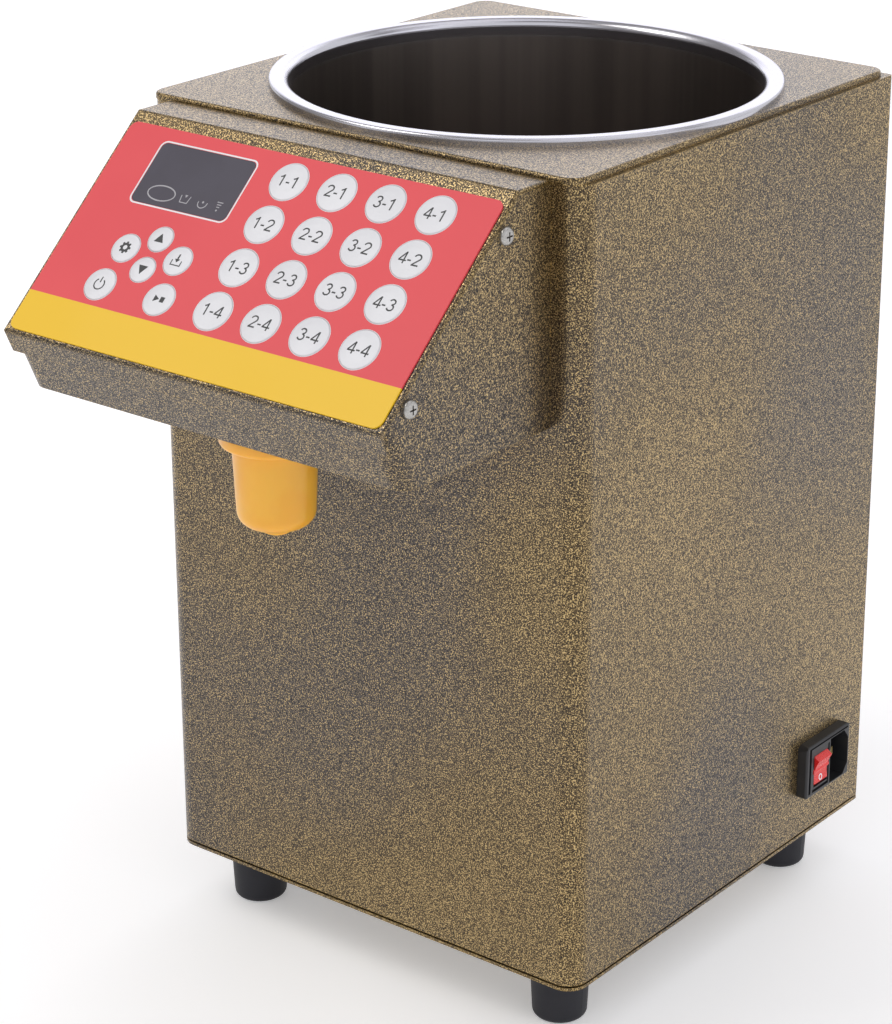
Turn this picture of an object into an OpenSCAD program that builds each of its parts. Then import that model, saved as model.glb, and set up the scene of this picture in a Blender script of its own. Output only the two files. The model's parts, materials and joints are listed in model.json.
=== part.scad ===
// Counter-top fructose dispenser: a sheet-metal cabinet holding a syrup tank, a gear
// pump under it and a sloping control head that carries the keys and the nozzle.
// Origin: middle of the bounding box, on the surface the feet stand on.
// +Z is up, the head points to -Y and the mains inlet is on the +X side.

/* [Cabinet] */
// Width of the cabinet, side to side
body_w = 240; // [236:1:300]
// Depth of the cabinet, front wall to rear edge
body_d = 242; // [240:1:320]
// Height of the cabinet wrap
body_h = 370; // [350:1:420]
// Sheet thickness of the cabinet, the head and the brackets
sheet_t = 1.2; // [0.8:0.1:1.4]
// Outside radius of the front corners
front_r = 10; // [6:0.5:14]
// Outside radius of the rear corners
rear_r = 2; // [1.8:0.1:4]
// How far the rear panel lies inside the rear edge
rear_inset = 3.6; // [3:0.1:8]
// Width of the flange round the bottom of the wrap
base_flange_w = 15; // [12:0.5:20]

/* [Top plate] */
// Thickness of the top plate
plate_t = 3; // [2:0.5:5]
// How far the plate lies inside the cabinet's side and rear walls
plate_inset = 2; // [0.5:0.1:3]
// How far the plate overhangs the front wall
plate_overhang = 1.5; // [0:0.1:3]
// Radius of the plate's upper edge
plate_edge_r = 1.4; // [0.6:0.1:2]

/* [Base and feet] */
// Sheet thickness of the base plate
base_t = 1.5; // [1:0.1:2]
// Height of the step between the base plate's rim and its field
base_step = 1; // [0.6:0.1:1.4]
// Height of a foot
foot_h = 32.5; // [20:0.5:40]
// Radius of a foot at the top
foot_top_r = 14.2; // [12:0.1:18]
// Radius of a foot at the bottom
foot_bottom_r = 12.6; // [10:0.1:16]
// Distance of a foot's axis from the cabinet's walls
foot_inset = 28; // [20:1:40]

/* [Tank] */
// Distance of the tank's rim from the cabinet's walls
rim_margin = 3.4; // [3:0.1:12]
// Width of the rim, from its edge to the inside of the tank
rim_w = 9.1; // [8.5:0.1:14]
// Depth of the tank below its rim
tank_depth = 218; // [180:1:225]
// Wall thickness of the tank
tank_t = 0.8; // [0.6:0.1:1.2]
// Radius of the rounded corner between wall and floor
tank_floor_r = 14; // [8:1:20]
// Height of the rolled rim above the top plate
rim_h = 3; // [2:0.1:5]
// Distance of the outlet from the tank's axis, towards the front
outlet_offset = 45; // [30:1:60]

/* [Head] */
// Width of the head
head_w = 209; // [205:1:214]
// Height of the head's underside above the cabinet wrap's foot
head_low = 264; // [250:1:275]
// Depth of the flat strip at the top of the head
strip_d = 22.2; // [18:0.5:30]
// Distance of that strip below the top plate's upper face
strip_drop = 1.9; // [1.4:0.1:2.6]
// Length of the sloping panel
panel_len = 117; // [112:1:125]
// Slope of the panel from the horizontal
panel_tilt = 42.2; // [40:0.2:44]
// Length of the lip below the panel
lip_len = 11.3; // [9:0.1:14]
// Lean of the lip and of the head's lower front from the vertical
lean = 24; // [20:1:28]
// Radius of the bends in the front cover
bend_r = 2.4; // [2:0.1:4]
// Radius of the upright corners at the head's lower front
head_corner_r = 8; // [4:0.5:12]
// Depth of the front cover's side flanges
cover_flange_d = 13.5; // [13:0.1:14]
// Gap between the front cover and the head shell
cover_gap = 0.2; // [0.1:0.05:0.4]

/* [Panel] */
// Thickness of the printed panel overlay
overlay_t = 0.8; // [0.4:0.1:1.2]
// Distance of the overlay from the head's side edges
overlay_margin = 2.3; // [1.5:0.1:4.5]
// Length of the overlay along the slope
overlay_len = 108.8; // [106:0.1:109]
// Distance of the overlay's upper edge from the upper bend
overlay_top = 6.2; // [5:0.1:7]
// Corner radius of the overlay
overlay_corner_r = 4; // [2:0.5:8]
// Width of the display window
window_w = 54; // [50:1:56]
// Length of the display window along the slope
window_len = 30.5; // [28:0.5:32]
// Distance of the window's centre from the head's centre line, to the left
window_x = 52; // [50:0.5:54]
// Distance of the window's centre from the upper bend
window_s = 28.6; // [27:0.2:30]

/* [Keys] */
// Radius of a dose key
dose_key_r = 9.1; // [8:0.1:9.4]
// Spacing of the dose keys across the panel
key_pitch_x = 26.1; // [24:0.1:26.2]
// Spacing of the dose keys along the slope
key_pitch_s = 21.8; // [21.5:0.1:22]
// Position of the first dose key across the panel
first_key_x = -4.2; // [-5:0.1:0]
// Distance of the first row of dose keys from the upper bend
first_key_s = 19; // [18:0.1:20]
// Radius of the two arrow keys
arrow_key_r = 6.1; // [5:0.1:6.4]
// Radius of the two keys beside the arrows
side_key_r = 6.9; // [6:0.1:7.2]
// Radius of the two keys in the lower left row
lower_key_r = 7.6; // [6:0.1:8]
// Travel of every key
key_travel = 0.5; // [0.3:0.05:0.6]
// How far a key stands proud of the overlay
key_proud = 0.4; // [0.2:0.05:0.8]
// Radial gap between a key and the overlay
key_gap = 0.3; // [0.2:0.05:0.4]

/* [Pump] */
// Number of teeth on each gear
teeth = 12; // [11:1:13]
// Tooth module
tooth_module = 2.5; // [2.3:0.1:2.6]
// Width of the gears along their shafts
gear_w = 14; // [10:1:18]
// Pressure angle of the teeth
pressure_angle = 28; // [26:1:30]
// Backlash taken off each tooth at the pitch circle
backlash = 0.3; // [0.2:0.05:0.5]
// Gap between the gears and the pump chamber
chamber_gap = 0.3; // [0.2:0.05:0.5]
// Radius of the pump and motor shafts
shaft_r = 4; // [3:0.5:4.5]
// Running clearance of a shaft in its bore
running_gap = 0.05; // [0.03:0.01:0.08]
// Wall thickness of the pump round its chamber
pump_wall = 8; // [6:0.5:10]
// Height of the pump's axis above the base plate
pump_axis_h = 69; // [66:1:80]
// Outside radius of the barbs that the hoses push on to
barb_r = 5; // [4.5:0.5:6]
// Bore radius of the barbs and fittings
port_r = 3; // [2:0.5:3.5]

/* [Motor and supply] */
// Radius of the motor
motor_r = 27; // [22:1:30]
// Length of the motor
motor_len = 58; // [45:1:66]
// Length of the shaft coupling
coupling_len = 18; // [15:1:20]
// Width of the power supply
supply_w = 38; // [30:1:42]
// Height of the power supply
supply_h = 98; // [70:1:110]
// Length of the power supply
supply_len = 110; // [100:1:112]

/* [Mains inlet] */
// How far the inlet's bezel stands out from the side wall
bezel_h = 5.5; // [4.5:0.5:6.5]
// Width of the bezel along the cabinet's depth
bezel_w = 39.6; // [39:0.2:44]
// Height of the bezel
bezel_len = 28.4; // [28:0.2:32]
// Distance of the inlet's centre from the cabinet's rear edge
inlet_rear = 39.4; // [38:0.2:45]
// Height of the inlet's centre above the cabinet wrap's foot
inlet_up = 35; // [30:1:60]
// Width of the appliance socket
socket_w = 16.4; // [16:0.1:16.6]
// Height of the appliance socket
socket_h = 24; // [23:0.1:24.2]
// Depth of the appliance socket
socket_d = 17; // [16:0.5:19]
// Width of the rocker's opening
rocker_w = 12.4; // [11.6:0.1:12.6]
// Height of the rocker's opening
rocker_h = 17; // [15:0.5:18]
// Tilt of the rocker to each side of the middle
rocker_tilt = 10; // [6:1:12]

/* [Nozzle] */
// Position of the nozzle across the head, to the right of the centre line
nozzle_x = 13.5; // [10:0.5:20]
// Distance of the nozzle's axis in front of the cabinet's front wall
nozzle_out = 69.5; // [66:0.5:72]
// Radius of the nozzle's flange
nozzle_flange_r = 23.4; // [20:0.1:24]
// Thickness of the nozzle's flange
nozzle_flange_t = 6.5; // [4:0.5:8]
// Radius of the nozzle's body below the flange
nozzle_top_r = 18.2; // [16:0.1:19]
// Radius of the nozzle's body at its lower end
nozzle_end_r = 16.7; // [14:0.1:17]
// Length of the nozzle's body below the flange
nozzle_len = 34.5; // [26:0.5:38]
// Wall thickness of the nozzle
nozzle_t = 2; // [1.5:0.1:2.5]

/* [Pipes] */
// Wall thickness of the hose and the delivery pipe
pipe_wall = 1.5; // [1:0.1:1.6]
// Bend radius of the delivery pipe
pipe_bend = 15; // [12:1:16]
// Distance of the delivery pipe's riser from the centre line
riser_x = 95; // [92:1:96]
// Distance of the riser behind the front wall
riser_in = 22; // [20:1:24]

/* [Hidden] */
$fn = 64;
fit = 0.05;      // radial gap of pieces that are pushed together
seam = 0.3;      // gap between panels that meet edge to edge
bronze = [0.47, 0.43, 0.36];
steel = [0.78, 0.79, 0.80];
dark = [0.13, 0.13, 0.15];

// levels
rim_low_z = foot_h - base_step;
field_z = foot_h + base_t;
wrap_top = field_z + body_h;
plate_top = wrap_top + plate_t;
rim_top = plate_top + rim_h;
tank_floor = rim_top - tank_depth;
front_y = -body_d / 2;
rear_y = body_d / 2;
rim_r = min(body_w, body_d) / 2 - rim_margin;
tank_r = rim_r - rim_w;
flange_hole_r = tank_r + tank_t + 3;
rear_flange_w = 16;
wire_hole = [-20, 50];
wire_hole_w = 60;
wire_hole_h = 20;
vent_x = 42;
vent_pitch = 8;
vent_w = 56;
vent_h = 3;
base_rim_w = 4;
boss_r = 5;
boss_h = 4.5;
foot_seat_t = 6;

// head outline in the Y-Z plane
strip_z = plate_top - strip_drop;
bend_y = front_y - strip_d;
nose_y = bend_y - panel_len * cos(panel_tilt);
nose_z = strip_z - panel_len * sin(panel_tilt);
head_z = field_z + head_low;
cover_rear = front_y - plate_overhang - seam - 0.1;
lip_end = [nose_y + lip_len * sin(lean), nose_z - lip_len * cos(lean)];
cover_path = [[cover_rear, strip_z], [bend_y, strip_z], [nose_y, nose_z], lip_end];
head_inset = sheet_t + cover_gap;
nose_front = min([for (p = rounded_path(cover_path, bend_r)) p.x]);
head_reach = front_y - nose_front;
head_flange_w = 14;
head_flange_low = 10;
nose_relief_r = 0.6;
cover_flange_end = 9;

// the bounding box's middle is the origin
rocker_reach = rocker_h / 2 - 0.3;
rocker_crease = [2.4, rocker_reach - 1.6];
rocker_sink = 1.4;
rocker_proud = rocker_crease.x * cos(rocker_tilt) + rocker_crease.y * sin(rocker_tilt) - rocker_sink;
shift = [-(bezel_h + rocker_proud) / 2, head_reach / 2, 0];

// fasteners: shaft radius, head radius, head height
m4 = [2, 4, 2.4];
m3 = [1.5, 2.8, 1.8];
m5 = [2.5, 4.6, 3];
screw_gap = 0.15;
m4_len = 8;
plate_screw_len = sheet_t + plate_t - 0.8;

// panel levels, measured inwards from the front cover's outer face
overlay_w = head_w - 2 * overlay_margin;
glue_t = 0.02;
board_depth = 12;
board_t = 1.6;
board_w = head_w - 19;
board_len = 92;
board_s = 56;
stud_x = head_w / 2 - 15.5;
stud_s = 42;
stud_r = 3;
switch_h = 3.4;
plunger_h = 1.2;
plunger_r = 1.7;
switch_w = 6;
stem_r = 2.2;
flange_over = 0.9;
flange_gap = 0.3;
stem_end = board_depth - switch_h - plunger_h - key_travel - 0.4;
module_w = 48;
module_len = 24;
module_h = 7.5;
window_flange = 2;
window_corner_r = 3;
cluster_x = -50.8;
cluster_s = 66.4;

// keys: name, place across the panel, distance from the upper bend, radius
dose_keys = [for (column = [1:4], row = [1:4])
    [str("key_", column, "_", row),
     first_key_x + (column - 1) * key_pitch_x,
     first_key_s + (row - 1) * key_pitch_s,
     dose_key_r]];
function_keys = [
    ["key_up", cluster_x, cluster_s - 7.8, arrow_key_r],
    ["key_down", cluster_x, cluster_s + 7.8, arrow_key_r],
    ["key_setup", cluster_x - 15, cluster_s, side_key_r],
    ["key_storage", cluster_x + 15, cluster_s, side_key_r],
    ["key_power", cluster_x - 17, cluster_s + 19.1, lower_key_r],
    ["key_run", cluster_x + 17, cluster_s + 19.1, lower_key_r]];
KEYS = concat(dose_keys, function_keys);

// pump and drive, along Y
outlet_y = -outlet_offset;
pump_z = field_z + pump_axis_h;
pitch_r = teeth * tooth_module / 2;
tip_r = pitch_r + 0.85 * tooth_module;
root_r = pitch_r - 1.1 * tooth_module;
base_r = pitch_r * cos(pressure_angle);
chamber_r = tip_r + chamber_gap;
chamber_front = outlet_y - gear_w / 2 - chamber_gap;
chamber_back = outlet_y + gear_w / 2 + chamber_gap;
pump_back_t = 8;
pump_back = chamber_back + pump_back_t;
journal_len = 4;
journal_hole = 4.5;
pump_cover_t = 6;
pump_w = 2 * (pitch_r + chamber_r + pump_wall);
pump_h = 2 * (chamber_r + pump_wall);
pump_screw_in = 5.5;
pump_screw_x = pump_w / 2 - pump_screw_in;
pump_screw_z = pump_h / 2 - pump_screw_in;
upright_t = 2;
coupling_start = pump_back + upright_t + 3;
coupling_end = coupling_start + coupling_len;
coupling_mid = coupling_start + coupling_len / 2;
motor_front = coupling_end + 4 + upright_t;
coupling_r = 9;
motor_screw_r = 19;
motor_pilot_r = 9.8;
motor_cap_len = 6;
motor_cap_r = motor_r - 2;
shaft_in_motor = 12;
terminal_x = 12;
grip = 0.02;
slit_w = 0.8;
slit_pitch = 3;
seal_r = 8;
seal_w = 5;
barb_len = 12;
barb_boss_h = 4;
barb_boss_r = barb_r + 3;
pump_top = pump_z + pump_h / 2;
hose_r = barb_r + fit + pipe_wall;
pipe_hole_r = hose_r + 1.5;
clip_w = 6;
clip_t = 1;
clip_ear = 3.6;

// tank outlet, down from the tank's floor
outlet_flange_t = 2.5;
outlet_thread_r = 9;
outlet_flange_r = 15;
nut_r = 16;
gasket_t = 2;
nut_h = 7;
outlet_low = tank_floor - tank_t - gasket_t - nut_h - 2;

// inlet
inlet_y = rear_y - inlet_rear;
inlet_z = field_z + inlet_up;
bezel_x = body_w / 2 + bezel_h;
rocker_y = inlet_y - 6.2;
rocker_z = inlet_z - 1.2;
socket_y = inlet_y + 9.8;
socket_z = inlet_z - 0.5;
rocker_axis_x = bezel_x - rocker_sink;
pin_r = 1.5;
pin_out = 0.9;
inlet_back = bezel_x - socket_d - 3;
bezel_lap = 0.8;
inlet_hole_w = bezel_w - 2 * bezel_lap;
inlet_hole_h = bezel_len - 2 * bezel_lap;
bezel_corner_r = 3;
bezel_edge_r = 1.2;
bezel_draft = 0.4;
groove_d = 1;
groove_w = 1.8;
groove_in = 2.4;
plate_low = 0.4;
blade_h = 4;
blade_t = 2;
blade_set = 5.5;
blades = [[-2, -7], [-2, 7], [2, 0]];    // from the socket's centre

// nozzle
nozzle_y = front_y - nozzle_out;
nozzle_low = head_z - nozzle_flange_t;
neck_r = 11.8;
neck_h = 9;

// delivery pipe: corners of its route, from the pump's lower port to the nozzle
run_z = field_z + 12;
head_run_z = head_z + 24;
riser_y = front_y + riser_in;
route = [
    [0, outlet_y, pump_z - pump_h / 2 - barb_boss_h - 1],
    [0, outlet_y, run_z],
    [-riser_x, outlet_y, run_z],
    [-riser_x, riser_y, run_z],
    [-riser_x, riser_y, head_run_z],
    [-riser_x, nozzle_y, head_run_z],
    [nozzle_x, nozzle_y, head_run_z],
    [nozzle_x, nozzle_y, head_z + 1]];

// power supply
supply_x = -body_w / 2 + base_flange_w + 1;
supply_y = rear_y - foot_inset - boss_r - 1.5 - supply_len;
terminal_len = 14;
terminal_w = 16;
tray_t = 4;
fin_pitch = 10;
fin_margin = 20;

// ---------------------------------------------------------------- helpers

function unit(v) = v / norm(v);
function left(v) = [-v.y, v.x];
function reversed(l) = [for (i = [len(l) - 1:-1:0]) l[i]];

// arc points that round the corner v between its neighbours a and b
function rounded_corner(a, v, b, r, n = 6) =
    let (u = unit(a - v), w = unit(b - v), half = acos(u * w) / 2)
    let (c = v + unit(u + w) * r / sin(half), s = v + u * r / tan(half) - c)
    let (e = v + w * r / tan(half) - c, from = atan2(s.y, s.x))
    let (raw = atan2(e.y, e.x) - from)
    let (sweep = raw > 180 ? raw - 360 : raw < -180 ? raw + 360 : raw)
    [for (i = [0:n]) c + r * [cos(from + sweep * i / n), sin(from + sweep * i / n)]];

// an open path with its inner corners rounded
function rounded_path(p, r) = [for (i = [0:len(p) - 1])
    each (r < 0.05 || i == 0 || i == len(p) - 1) ? [p[i]]
        : rounded_corner(p[i - 1], p[i], p[i + 1], r)];

// a closed outline with a radius for each corner
function rounded_outline(p, r) = [for (i = [0:len(p) - 1])
    each r[i] < 0.05 ? [p[i]]
        : rounded_corner(p[(i + len(p) - 1) % len(p)], p[i], p[(i + 1) % len(p)], r[i])];

// an open path moved to its left by d
function offset_path(p, d) = [for (i = [0:len(p) - 1])
    let (before = left(unit(p[max(i, 1)] - p[max(i, 1) - 1])))
    let (after = left(unit(p[min(i + 1, len(p) - 1)] - p[min(i, len(p) - 2)])))
    let (n1 = i == 0 ? after : before, n2 = i == len(p) - 1 ? before : after)
    p[i] + d * (n1 + n2) / (1 + n1 * n2)];

// section of a sheet of thickness t bent along a path, t to the path's left
function bent_sheet(p, t, r) =
    concat(rounded_path(p, r), reversed(rounded_path(offset_path(p, t), r - t)));

module in_place() translate(shift) children();

// children moved so that their X, Y and Z axes point along x, y and z from o
module frame_at(o, x, y, z)
    multmatrix([[x.x, y.x, z.x, o.x], [x.y, y.y, z.y, o.y], [x.z, y.z, z.z, o.z], [0, 0, 0, 1]])
        children();

// children with +Z along an axis direction
module aimed(o, dir) {
    side = abs(dir.z) > 0.5 ? [1, 0, 0] : [0, 0, 1];
    frame_at(o, side, cross(dir, side), dir) children();
}

// a Y-Z outline extruded along X
module prism_x(x, len) translate([x, 0, 0]) rotate([90, 0, 90]) linear_extrude(len) children();

// plan of the cabinet with its own radius at the front and rear corners
module plan(w, d, rf, rr) {
    x = w / 2;
    y = d / 2;
    polygon([[rf - x, -y], [x - rf, -y], [x, rf - y], [x, y - rr], [x - rr, y], [rr - x, y],
             [-x, y - rr], [-x, rf - y]]);
    for (side = [-1, 1]) {
        translate([side * (x - rf), rf - y]) circle(rf);
        translate([side * (x - rr), y - rr]) circle(rr);
    }
}

// a rectangle centred on the origin with rounded corners
module rounded_rect(w, h, r)
    polygon(rounded_outline([[-w, -h] / 2, [w, -h] / 2, [w, h] / 2, [-w, h] / 2], [r, r, r, r]));

// children on the sloping panel: Z outwards, Y up the slope, depth inwards
module on_panel(x, s, depth = 0)
    translate([x, bend_y - s * cos(panel_tilt), strip_z - s * sin(panel_tilt)])
        rotate([panel_tilt, 0, 0]) translate([0, 0, -depth]) children();

// a point under the panel: s from the upper bend, p below the face
function under_panel(x, s, p) = [x,
    bend_y - s * cos(panel_tilt) + p * sin(panel_tilt),
    strip_z - s * sin(panel_tilt) - p * cos(panel_tilt)];

// pan-head screw: head above the origin, shaft along -Z
module screw(size, len) {
    slot = size[0] * 0.4;
    difference() {
        union() {
            rotate_extrude() polygon(concat([[0, 0], [size[1], 0]],
                rounded_corner([size[1], 0], [size[1], size[2]], [0, size[2]], size[2] * 0.7),
                [[0, size[2]]]));
            translate([0, 0, -len]) cylinder(h = len + size[2] / 2, r = size[0]);
        }
        for (turn = [0, 90]) rotate(turn)
            translate([-size[0], -slot / 2, size[2] * 0.4]) cube([size[0] * 2, slot, size[2]]);
    }
}

// screws whose seats and outward directions are listed as [seat, direction]
module screws(list, size, len) for (s = list) aimed(s[0], s[1]) screw(size, len);

// clearance holes for the same screws
module screw_holes(list, size, len)
    for (s = list) aimed(s[0] - s[1] * len, s[1])
        cylinder(h = len + size[2], r = size[0] + screw_gap);

// hollow round pipe along an axis-aligned route with bends of one radius
module pipe(points, bend, outer, inner) {
    last = len(points) - 1;
    for (i = [0:last - 1]) {
        d = unit(points[i + 1] - points[i]);
        a = points[i] + d * (i == 0 ? 0 : bend);
        b = points[i + 1] - d * (i == last - 1 ? 0 : bend);
        aimed(a, d) linear_extrude(norm(b - a)) ring(outer, inner);
    }
    for (i = [1:last - 1]) {
        d1 = unit(points[i] - points[i - 1]);
        d2 = unit(points[i + 1] - points[i]);
        frame_at(points[i] + (d2 - d1) * bend, -d2, d1, cross(-d2, d1))
            rotate_extrude(angle = 90) translate([bend, 0]) ring(outer, inner);
    }
}

module ring(outer, inner) difference() {
    circle(outer);
    circle(inner);
}

// ---------------------------------------------------------------- screw places

side_screw_s = [17.5, panel_len - 16.6];
side_screw_depth = 6.4;
plate_screw_in = 18;
bracket_foot_w = 14;
head_screw_in = 12;
feet_at = [for (x = [-1, 1], y = [-1, 1])
    [x * (body_w / 2 - foot_inset), y * (body_d / 2 - foot_inset)]];
side_screws = [for (side = [-1, 1], s = side_screw_s)
    [under_panel(side * head_w / 2, s, side_screw_depth), [side, 0, 0]]];
rear_screws = [for (side = [-1, 1], z = [0.07, 0.5, 0.93])
    [[side * (body_w / 2 - rear_flange_w / 2 - 1), rear_y - rear_inset, field_z + body_h * z],
     [0, 1, 0]]];
base_screws = [for (side = [-1, 1], y = [-0.3, 0, 0.3])
    [[side * (body_w / 2 - 9.5), body_d * y, foot_h], [0, 0, -1]]];
plate_screws = [for (x = [-1, 1], y = [-1, 1])
    [[x * (body_w / 2 - plate_screw_in), y * (body_d / 2 - plate_screw_in), wrap_top - sheet_t],
     [0, 0, -1]]];
head_screws = [for (x = [-1, 1], z = [head_z + head_screw_in, strip_z - 1.6 * head_screw_in])
    [[x * (head_w / 2 - 9), front_y + sheet_t, z], [0, 1, 0]]];
bracket_screws = [for (x = [-1, 1], y = [upright_t + 5, motor_front - pump_back - upright_t - 6])
    [[x * (pump_w / 2 + bracket_foot_w / 2), pump_back + y, foot_h], [0, 0, -1]]];
supply_screws = [for (y = [0.2, 0.8])
    [[supply_x + supply_w / 2, supply_y + supply_len * y, foot_h], [0, 0, -1]]];
motor_screws = [for (a = [45:90:315])
    [[-pitch_r + motor_screw_r * cos(a), motor_front - upright_t,
      pump_z + motor_screw_r * sin(a)], [0, -1, 0]]];
chassis = concat(side_screws, rear_screws, base_screws, head_screws, bracket_screws,
    supply_screws, motor_screws);
cover_screws = [for (x = [-1, 1], z = [-1, 1])
    [[x * pump_screw_x, chamber_front - pump_cover_t, pump_z + z * pump_screw_z], [0, -1, 0]]];
stud_screws = [for (x = [-1, 1], s = [-1, 1]) [x * stud_x, board_s + s * stud_s]];

// ---------------------------------------------------------------- cabinet

module body_shell() color(bronze) in_place() difference() {
    inner_w = body_w - 2 * sheet_t;
    union() {
        translate([0, 0, field_z]) linear_extrude(body_h) difference() {
            plan(body_w, body_d, front_r, rear_r);
            translate([0, sheet_t]) plan(inner_w, body_d, front_r - sheet_t, 0.1);
        }
        for (side = [-1, 1])
            translate([side * (body_w / 2 - sheet_t - rear_flange_w / 2) - rear_flange_w / 2,
                       rear_y - rear_inset - 2 * sheet_t, field_z])
                cube([rear_flange_w, sheet_t, body_h]);
        translate([0, 0, field_z]) linear_extrude(sheet_t) difference() {
            plan(body_w, body_d, front_r, rear_r);
            square([body_w - 2 * base_flange_w, body_d - 2 * base_flange_w], center = true);
        }
        translate([0, 0, wrap_top - sheet_t]) linear_extrude(sheet_t) difference() {
            plan(body_w, body_d, front_r, rear_r);
            circle(flange_hole_r);
        }
    }
    screw_holes(concat(rear_screws, base_screws, plate_screws, head_screws), m4, m4_len);
    translate([-riser_x, front_y - 1, head_run_z]) rotate([-90, 0, 0])
        cylinder(h = 2 + sheet_t, r = pipe_hole_r);
    translate([wire_hole.x, front_y - 1, head_z + wire_hole.y])
        cube([wire_hole_w, 2 + sheet_t, wire_hole_h]);
    translate([body_w / 2 - sheet_t - 1, inlet_y - inlet_hole_w / 2, inlet_z - inlet_hole_h / 2])
        cube([sheet_t + 2, inlet_hole_w, inlet_hole_h]);
}

// louvre slots in two columns
module vent_slots(columns, rows, w) for (c = columns, i = [0:rows - 1])
    translate([c, (i - (rows - 1) / 2) * vent_pitch]) {
        square([w, vent_h], center = true);
        for (side = [-1, 1]) translate([side * w / 2, 0]) circle(vent_h / 2);
    }

module rear_panel() color(bronze) in_place() {
    w = body_w - 2 * (sheet_t + seam);
    h = body_h - 2 * (sheet_t + seam);
    difference() {
        translate([0, rear_y - rear_inset, field_z + body_h / 2]) rotate([90, 0, 0])
            linear_extrude(sheet_t) difference() {
                square([w, h], center = true);
                translate([0, -body_h * 0.27]) vent_slots([-vent_x, vent_x], 11, vent_w);
                translate([0, body_h * 0.35]) vent_slots([-vent_x, vent_x], 6, vent_w);
            }
        screw_holes(rear_screws, m4, m4_len);
    }
}

// slab with a rounded upper edge: straight sides and turned corners share one section
module plate_section(w) polygon(concat([[0, 0], [w, 0]],
    rounded_corner([w, 0], [w, plate_t], [0, plate_t], plate_edge_r, 5), [[0, plate_t]]));

module top_plate() color(bronze) in_place() {
    w = body_w - 2 * plate_inset;
    d = body_d + plate_overhang - plate_inset;
    mid = (plate_inset + plate_overhang) / -2;
    c = front_r - plate_inset;
    translate([0, mid, wrap_top]) difference() {
        union() {
            linear_extrude(plate_t) square([w - 2 * c, d - 2 * c], center = true);
            for (turn = [0, 180]) rotate(turn) {
                translate([w / 2 - c, d / 2 - c, 0]) rotate([90, 0, 0])
                    linear_extrude(d - 2 * c) plate_section(c);
                translate([w / 2 - c, d / 2 - c, 0]) rotate_extrude(angle = 90) plate_section(c);
                translate([c - w / 2, d / 2 - c, 0]) rotate([90, 0, 90])
                    linear_extrude(w - 2 * c) plate_section(c);
                translate([c - w / 2, d / 2 - c, 0]) rotate(90) rotate_extrude(angle = 90)
                    plate_section(c);
            }
        }
        translate([0, -mid, -1]) cylinder(h = plate_t + 2, r = tank_r + tank_t + 2);
        translate([0, -mid, -wrap_top]) screw_holes(plate_screws, m4, plate_screw_len + 0.2);
    }
}

module base_plate() color(bronze) in_place() difference() {
    dish_in = base_rim_w + base_t;
    union() {
        translate([0, 0, rim_low_z]) linear_extrude(base_t) plan(body_w, body_d, front_r, rear_r);
        translate([0, 0, rim_low_z]) linear_extrude(base_t + base_step)
            plan(body_w - 2 * base_rim_w, body_d - 2 * base_rim_w, front_r - base_rim_w, 0.5);
        for (p = feet_at) translate([p.x, p.y, field_z - base_t / 2])
            cylinder(h = boss_h + base_t / 2, r = boss_r);
    }
    translate([0, 0, rim_low_z - 1]) linear_extrude(base_step + 1)
        plan(body_w - 2 * dish_in, body_d - 2 * dish_in, front_r - dish_in, 0.3);
    for (p = feet_at) translate([p.x, p.y, foot_h - 1]) cylinder(h = 8, r = m5[0] + fit);
    translate([0, 0, foot_h - 1]) linear_extrude(base_t + 2)
        translate([0, 78]) vent_slots([-20, 40], 4, 40);
    screw_holes(concat(base_screws, bracket_screws, supply_screws), m4, m4_len);
}

module feet() color(dark) in_place() for (p = feet_at) translate(p) rotate_extrude()
    polygon(rounded_outline(
        [[m5[1] + 0.4, 0], [foot_bottom_r, 0], [foot_top_r, foot_h], [m5[0] + fit, foot_h],
         [m5[0] + fit, foot_h - foot_seat_t], [m5[1] + 0.4, foot_h - foot_seat_t]],
        [0, 3, 0.6, 0, 0, 0]));

module foot_screws() color(steel) in_place()
    screws([for (p = feet_at) [[p.x, p.y, foot_h - foot_seat_t], [0, 0, -1]]], m5,
        foot_seat_t + base_t + boss_h);

module chassis_screws() color(steel) in_place() {
    screws(chassis, m4, m4_len - 1);
    screws(plate_screws, m4, plate_screw_len);
}

// ---------------------------------------------------------------- tank

module tank() color(steel) in_place() difference() {
    shoulder = 3.6;
    hem = 1.5;
    inner_edge = [tank_r + shoulder, rim_top];
    seen = concat([[0, tank_floor]],
        rounded_corner([0, tank_floor], [tank_r, tank_floor], [tank_r, rim_top], tank_floor_r, 8),
        rounded_corner([tank_r, tank_floor], [tank_r, rim_top], inner_edge, shoulder, 8),
        rounded_corner(inner_edge, [rim_r, rim_top], [rim_r, plate_top], hem, 5),
        [[rim_r, plate_top]]);
    back_r = rim_r - tank_t;
    back_top = rim_top - tank_t;
    wall_r = tank_r + tank_t;
    low = tank_floor - tank_t;
    hidden = concat([[back_r, plate_top]],
        rounded_corner([back_r, plate_top], [back_r, back_top], [wall_r, back_top], hem - tank_t, 5),
        rounded_corner([back_r, back_top], [wall_r, back_top], [wall_r, low], shoulder - tank_t, 8),
        rounded_corner([wall_r, back_top], [wall_r, low], [0, low], tank_floor_r + tank_t, 8),
        [[0, low]]);
    rotate_extrude($fn = 96) polygon(concat(seen, hidden));
    translate([0, outlet_y, low - 1]) cylinder(h = tank_t + 2, r = outlet_thread_r + 0.2);
}

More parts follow.
